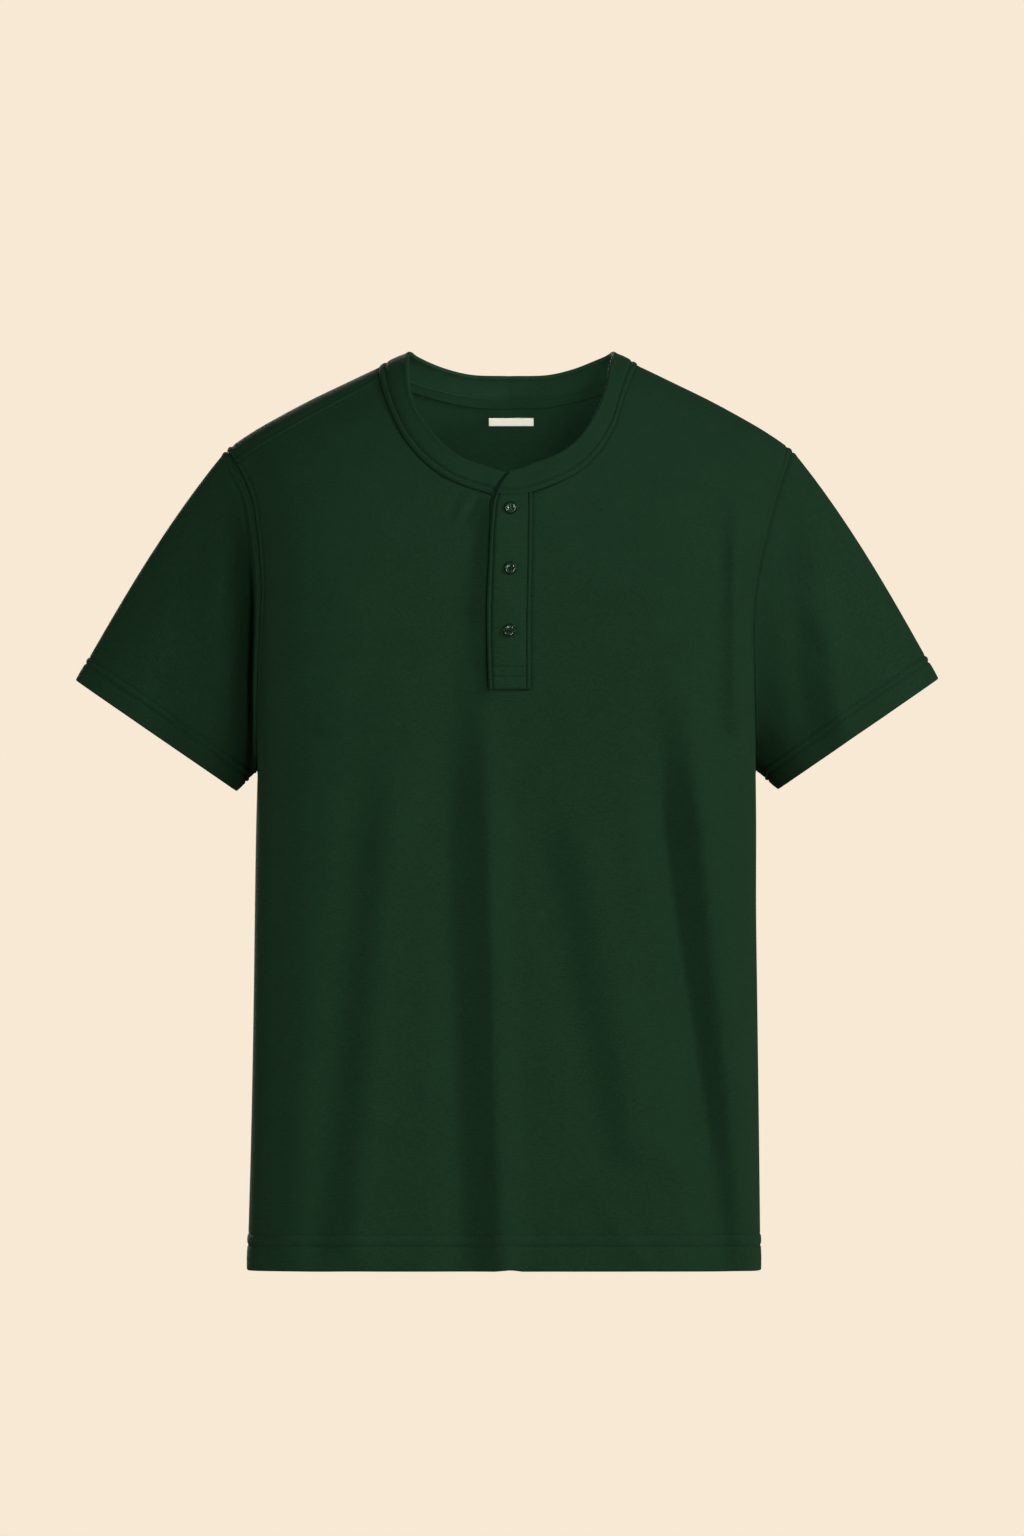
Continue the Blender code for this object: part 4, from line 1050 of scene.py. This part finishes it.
def armholeRow(panel, column):
    rows = slice(panel["armpitRow"] + 3, -2)
    return panel["dressed"][rows, column], panel["n"][rows, column]


stitching("hem_stitches", [hemRow(panels[name], height) for name in ("front", "back")
                           for height, _ in panelSet["hemStitches"]])
stitching("sleeve_hem_stitches", [sleeveRow(sleeves[side], height) for side in ("left", "right")
                                  for height in sleeveSet["stitches"]])
edgeColumn = panelSet["edgeSteps"].index(panelSet["seamStitch"])
stitching("armhole_stitches", [armholeRow(panels[name], column) for name in ("front", "back")
                               for column in (edgeColumn, -1 - edgeColumn)])
topRow = -1 - panelSet["topRows"][::-1].index(panelSet["seamStitch"])
back = panels["back"]
stitching("shoulder_stitches", [(back["dressed"][topRow, part], back["n"][topRow, part])
                                for part in (slice(2, back["ends"]), slice(-back["ends"], -2))])
bandRow = bandSet["rise"].index(bandSet["stitch"])
stitching("neckband_stitches", [(band["outer"][bandRow, 3:-4], band["n"][bandRow, 3:-4])])
halfRow, halfColumn = len(px) // 2, px.shape[1] // 2
leftColumn = nearest(fromEdge[halfRow, :20], placketSet["stitchLeft"])
rightColumn = px.shape[1] - 20 + nearest(fromEdge[halfRow, -20:], placketSet["stitchRight"])
boxRows = [nearest(fromFoot[:, halfColumn], placketSet[k]) for k in ("boxLow", "boxHigh")]
cuts = [(slice(6, -8), column) for column in (leftColumn, rightColumn)]
cuts += [(row, slice(7, -7)) for row in boxRows]
stitching("placket_stitches", [(placketFace[cut], placketNormal[cut]) for cut in cuts])
tapeX = np.linspace(tapeLeft + 3, tapeRight - 3, 400)
tapeTurn = -turnTo(tapeX, tapeTop(tapeX) - 1.0)
tapeLine = clothOut(tapeX, tapeTurn, np.full(400, -form["wall"] - 1.9))
stitching("tape_stitches", [(tapeLine, -clothNormal(tapeX, tapeTurn))])
print("made stitches")

buttonSet = {
    "profile": [  # radius, front, back
        (5.1, 0.9, 0.7), (5.04, 1.2, 0.45), (4.9, 1.5, 0.2), (4.72, 1.85, 0.05), (4.52, 2.14, 0),
        (4.36, 2.2, 0), (4.2, 2.12, 0), (4.02, 1.8, 0), (3.84, 1.45, 0), (3.6, 1.28, 0), (3.1, 1.24, 0),
        (2.86, 1.34, 0), (2.7, 1.42, 0), (1.2, 1.4, 0)],
    "holeStep": 2.3, "holeRadius": 0.62, "holeSides": 20, "holeRim": 0.14, "segments": 64,
    "places": [(0.6, -122.3, 0.06), (0.2, -168.5, 0.5), (-0.5, -216.0, -0.12)],     # across, height, turn
    "tilt": 0.3, "standOff": 0.9, "thread": 0.17, "threadHalfGap": 0.16}


def buttonMesh():
    def circle(x, y, radius, count):
        a = np.arange(count) * 2 * np.pi / count
        return [(x + radius * np.cos(t), y + radius * np.sin(t)) for t in a]

    step, hole = buttonSet["holeStep"], buttonSet["holeRadius"]
    centres = [(i * step / 2, j * step / 2) for i in (-1, 1) for j in (-1, 1)]
    loops = [circle(0, 0, row[0], buttonSet["segments"]) for row in buttonSet["profile"][:-1]]
    for rim in (0, buttonSet["holeRim"]):
        loops += [circle(x, y, hole + rim, buttonSet["holeSides"]) for x, y in centres]
    flat, edges = [], []
    for loop in loops:
        base = len(flat)
        flat += loop
        edges += [(base + k, base + (k + 1) % len(loop)) for k in range(len(loop))]
    points, _, faces, *_ = delaunay_2d_cdt(flat, edges, [], 0, 1e-6)
    points = np.array([(p[0], p[1]) for p in points])
    toHole = lambda p: min(math.hypot(p[0] - cx, p[1] - cy) for cx, cy in centres)
    faces = [list(face) for face in faces if toHole(points[list(face)].mean(axis=0)) > hole * 0.9]
    sides = {(a, b) for face in faces for a, b in zip(face, face[1:] + face[:1])}
    rims = sorted((a, b) for a, b in sides if (b, a) not in sides)
    radius = np.hypot(*points.T)
    table = sorted(buttonSet["profile"])
    front = np.interp(radius, [row[0] for row in table], [row[1] for row in table])
    back = np.interp(radius, [row[0] for row in table], [row[2] for row in table])
    front -= np.array([0.16 if toHole(p) < hole + 0.05 else 0 for p in points])
    n = len(points)
    faces += [[v + n for v in reversed(face)] for face in faces] + [[b, a, a + n, b + n] for a, b in rims]
    return np.concatenate([np.column_stack([points, front]), np.column_stack([points, back])]), faces


buttonPoints, buttonFaces = buttonMesh()


def tube(line, radius, sides, base):
    points = []
    for place, ahead in zip(line, unit(np.gradient(line, axis=0))):
        a = unit(np.cross(ahead, [0.31, 0.17, 0.93]))
        b = np.cross(ahead, a)
        for j in range(sides):
            angle = 2 * np.pi * j / sides
            points.append(place + radius * (a * math.cos(angle) + b * math.sin(angle)))
    return points, tubeFaces(base, len(line), sides)


def placeButton(name, x, z, spin):
    turn = turnTo(np.array(x), z)
    middle = clothOut(np.array(x), turn, form["stripWall"] + buttonSet["standOff"])
    out = unit(clothNormal(np.array(x), turn) * [1, 1, buttonSet["tilt"]])
    across = unit(np.cross([0, 0, 1], out))
    axes = np.column_stack([across, np.cross(out, across), out])
    turned = np.array([[math.cos(spin), -math.sin(spin), 0], [math.sin(spin), math.cos(spin), 0], [0, 0, 1]])
    put = lambda points: (np.asarray(points) @ turned.T) @ axes.T + middle
    disc = makeObject("shirt_" + name, put(buttonPoints), buttonFaces, buttonFinish)
    disc.data.set_sharp_from_angle(angle=math.radians(40))
    shirt[name] = disc
    # thread through the holes: two bars with a cross strand
    h, gap = buttonSet["holeStep"] / 2, buttonSet["threadHalfGap"]
    t = np.linspace(0, 1, 9)
    arch = np.sqrt(np.clip(1 - (2 * t - 1) ** 4, 0, 1))
    points, faces = [], []
    for x0, y0, x1, y1 in ((-h, -h, -h, h), (h, -h, h, h), (-h + 0.05, -h, h - 0.05, h)):
        dx, dy = x1 - x0, y1 - y0
        for offset in (-gap, gap):
            sx, sy = -dy / math.hypot(dx, dy) * offset, dx / math.hypot(dx, dy) * offset
            line = np.column_stack([x0 + dx * t + sx, y0 + dy * t + sy, 1.0 + 0.86 * arch])
            strandPoints, strandFaces = tube(line, buttonSet["thread"], 6, len(points))
            points += strandPoints
            faces += strandFaces
    shirt["thread_" + name] = makeObject("thread_" + name, put(np.array(points)), faces, threadPaintedShadeFinish)


for k, place in enumerate(buttonSet["places"]):
    placeButton("button_%d" % (k + 1), *place)
print("made buttons")

slots = {
    "front": "jersey", "back": "jersey", "sleeve_left": "jersey", "sleeve_right": "jersey",
    "neckband": "neckband", "placket_upper": "placket", "placket_lower": "placket", "neck_tape": "tape",
    "neck_label": "label", "button_1": "button", "button_2": "button", "button_3": "button"}
for obj in shirt.values():
    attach(obj, "root")
for name, slotName in slots.items():
    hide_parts(name)
def linear(shade):
    return tuple(((c / 255 + 0.055) / 1.055) ** 2.4 for c in shade)


cream = linear((248, 233, 212))
cameraSet = {"distance": 24.0, "tall": 1.1904, "across": 0.0023, "height": -0.3224}
studioSet = {"sky": 0.13, "floorShade": (0.56, 0.57), "floorHeight": -1450, "floorRadius": 11000}
camera = bpy.data.cameras.new("camera")
camera.sensor_width = 36.0
camera.lens = 36.0 * cameraSet["distance"] / cameraSet["tall"]
camera.clip_end = 200.0
cameraObject = bpy.data.objects.new("camera", camera)
cameraObject.location = (cameraSet["across"], -cameraSet["distance"], cameraSet["height"])
cameraObject.rotation_euler = (math.pi / 2, 0, 0)
scene.collection.objects.link(cameraObject)
scene.camera = cameraObject
scene.view_settings.view_transform = "Standard"
scene.view_settings.look = "None"
scene.view_settings.exposure = 0.0
scene.view_settings.gamma = 1.0

world = bpy.data.worlds.new("studio")
scene.world = world
world.use_nodes = True
sky = world.node_tree.nodes["Background"]      # soft light from all round
sky.inputs["Color"].default_value = (*cream, 1)
sky.inputs["Strength"].default_value = studioSet["sky"]
paper = world.node_tree.nodes.new("ShaderNodeBackground")     # the plain cream paper behind
paper.inputs["Color"].default_value = (*cream, 1)
paper.inputs["Strength"].default_value = 1.0
either = world.node_tree.nodes.new("ShaderNodeMixShader")
path = world.node_tree.nodes.new("ShaderNodeLightPath")
world.node_tree.links.new(path.outputs["Is Camera Ray"], either.inputs["Fac"])
world.node_tree.links.new(sky.outputs[0], either.inputs[1])
world.node_tree.links.new(paper.outputs[0], either.inputs[2])
world.node_tree.links.new(either.outputs[0], world.node_tree.nodes["World Output"].inputs["Surface"])

lampColour = (1.0, 0.98, 0.95)
lightSet = [  # name, place, aim, size, watts
    ("key", (6.6, -3.3, 2.9), (0, 0, -0.33), 1.4, 500),
    ("front", (1.6, -6.2, 1.1), (0, 0, -0.33), 1.2, 165),
    ("fill", (-5.4, -4.4, 0.6), (0, 0, -0.33), 2.6, 165),
    ("rear", (-1.1, 5.6, 1.2), (0, 0, -0.33), 1.6, 320),
    ("neck", (0.008, -0.05, -0.05), (-0.03, 0.09, -0.08), 0.09, 0.13)]
for name, place, aimedAt, size, watts in lightSet:
    lamp = bpy.data.lights.new(name, "AREA")
    lamp.shape = "DISK"
    lamp.size = size
    lamp.energy = watts
    lamp.color = lampColour
    lampObject = bpy.data.objects.new(name, lamp)
    lampObject.location = place
    aim = Vector(aimedAt) - Vector(place)
    lampObject.rotation_euler = aim.to_track_quat("-Z", "Y").to_euler()
    lampObject.visible_camera = False
    scene.collection.objects.link(lampObject)

floorDark, floorLight = [tuple(share * c for c in cream) for share in studioSet["floorShade"]]
floorMaterial = plainFinish("pale_floor", floorDark, floorLight, 3.0, 0.9, 0.1, 0.0)
angles = np.linspace(0, 2 * np.pi, 96, endpoint=False)
wide = studioSet["floorRadius"]
rim = [(wide * math.cos(a), wide * math.sin(a), studioSet["floorHeight"]) for a in angles]
floor = makeObject("floor", rim, [tuple(range(96))], floorMaterial, smooth=False)
print("camera, light and floor made")
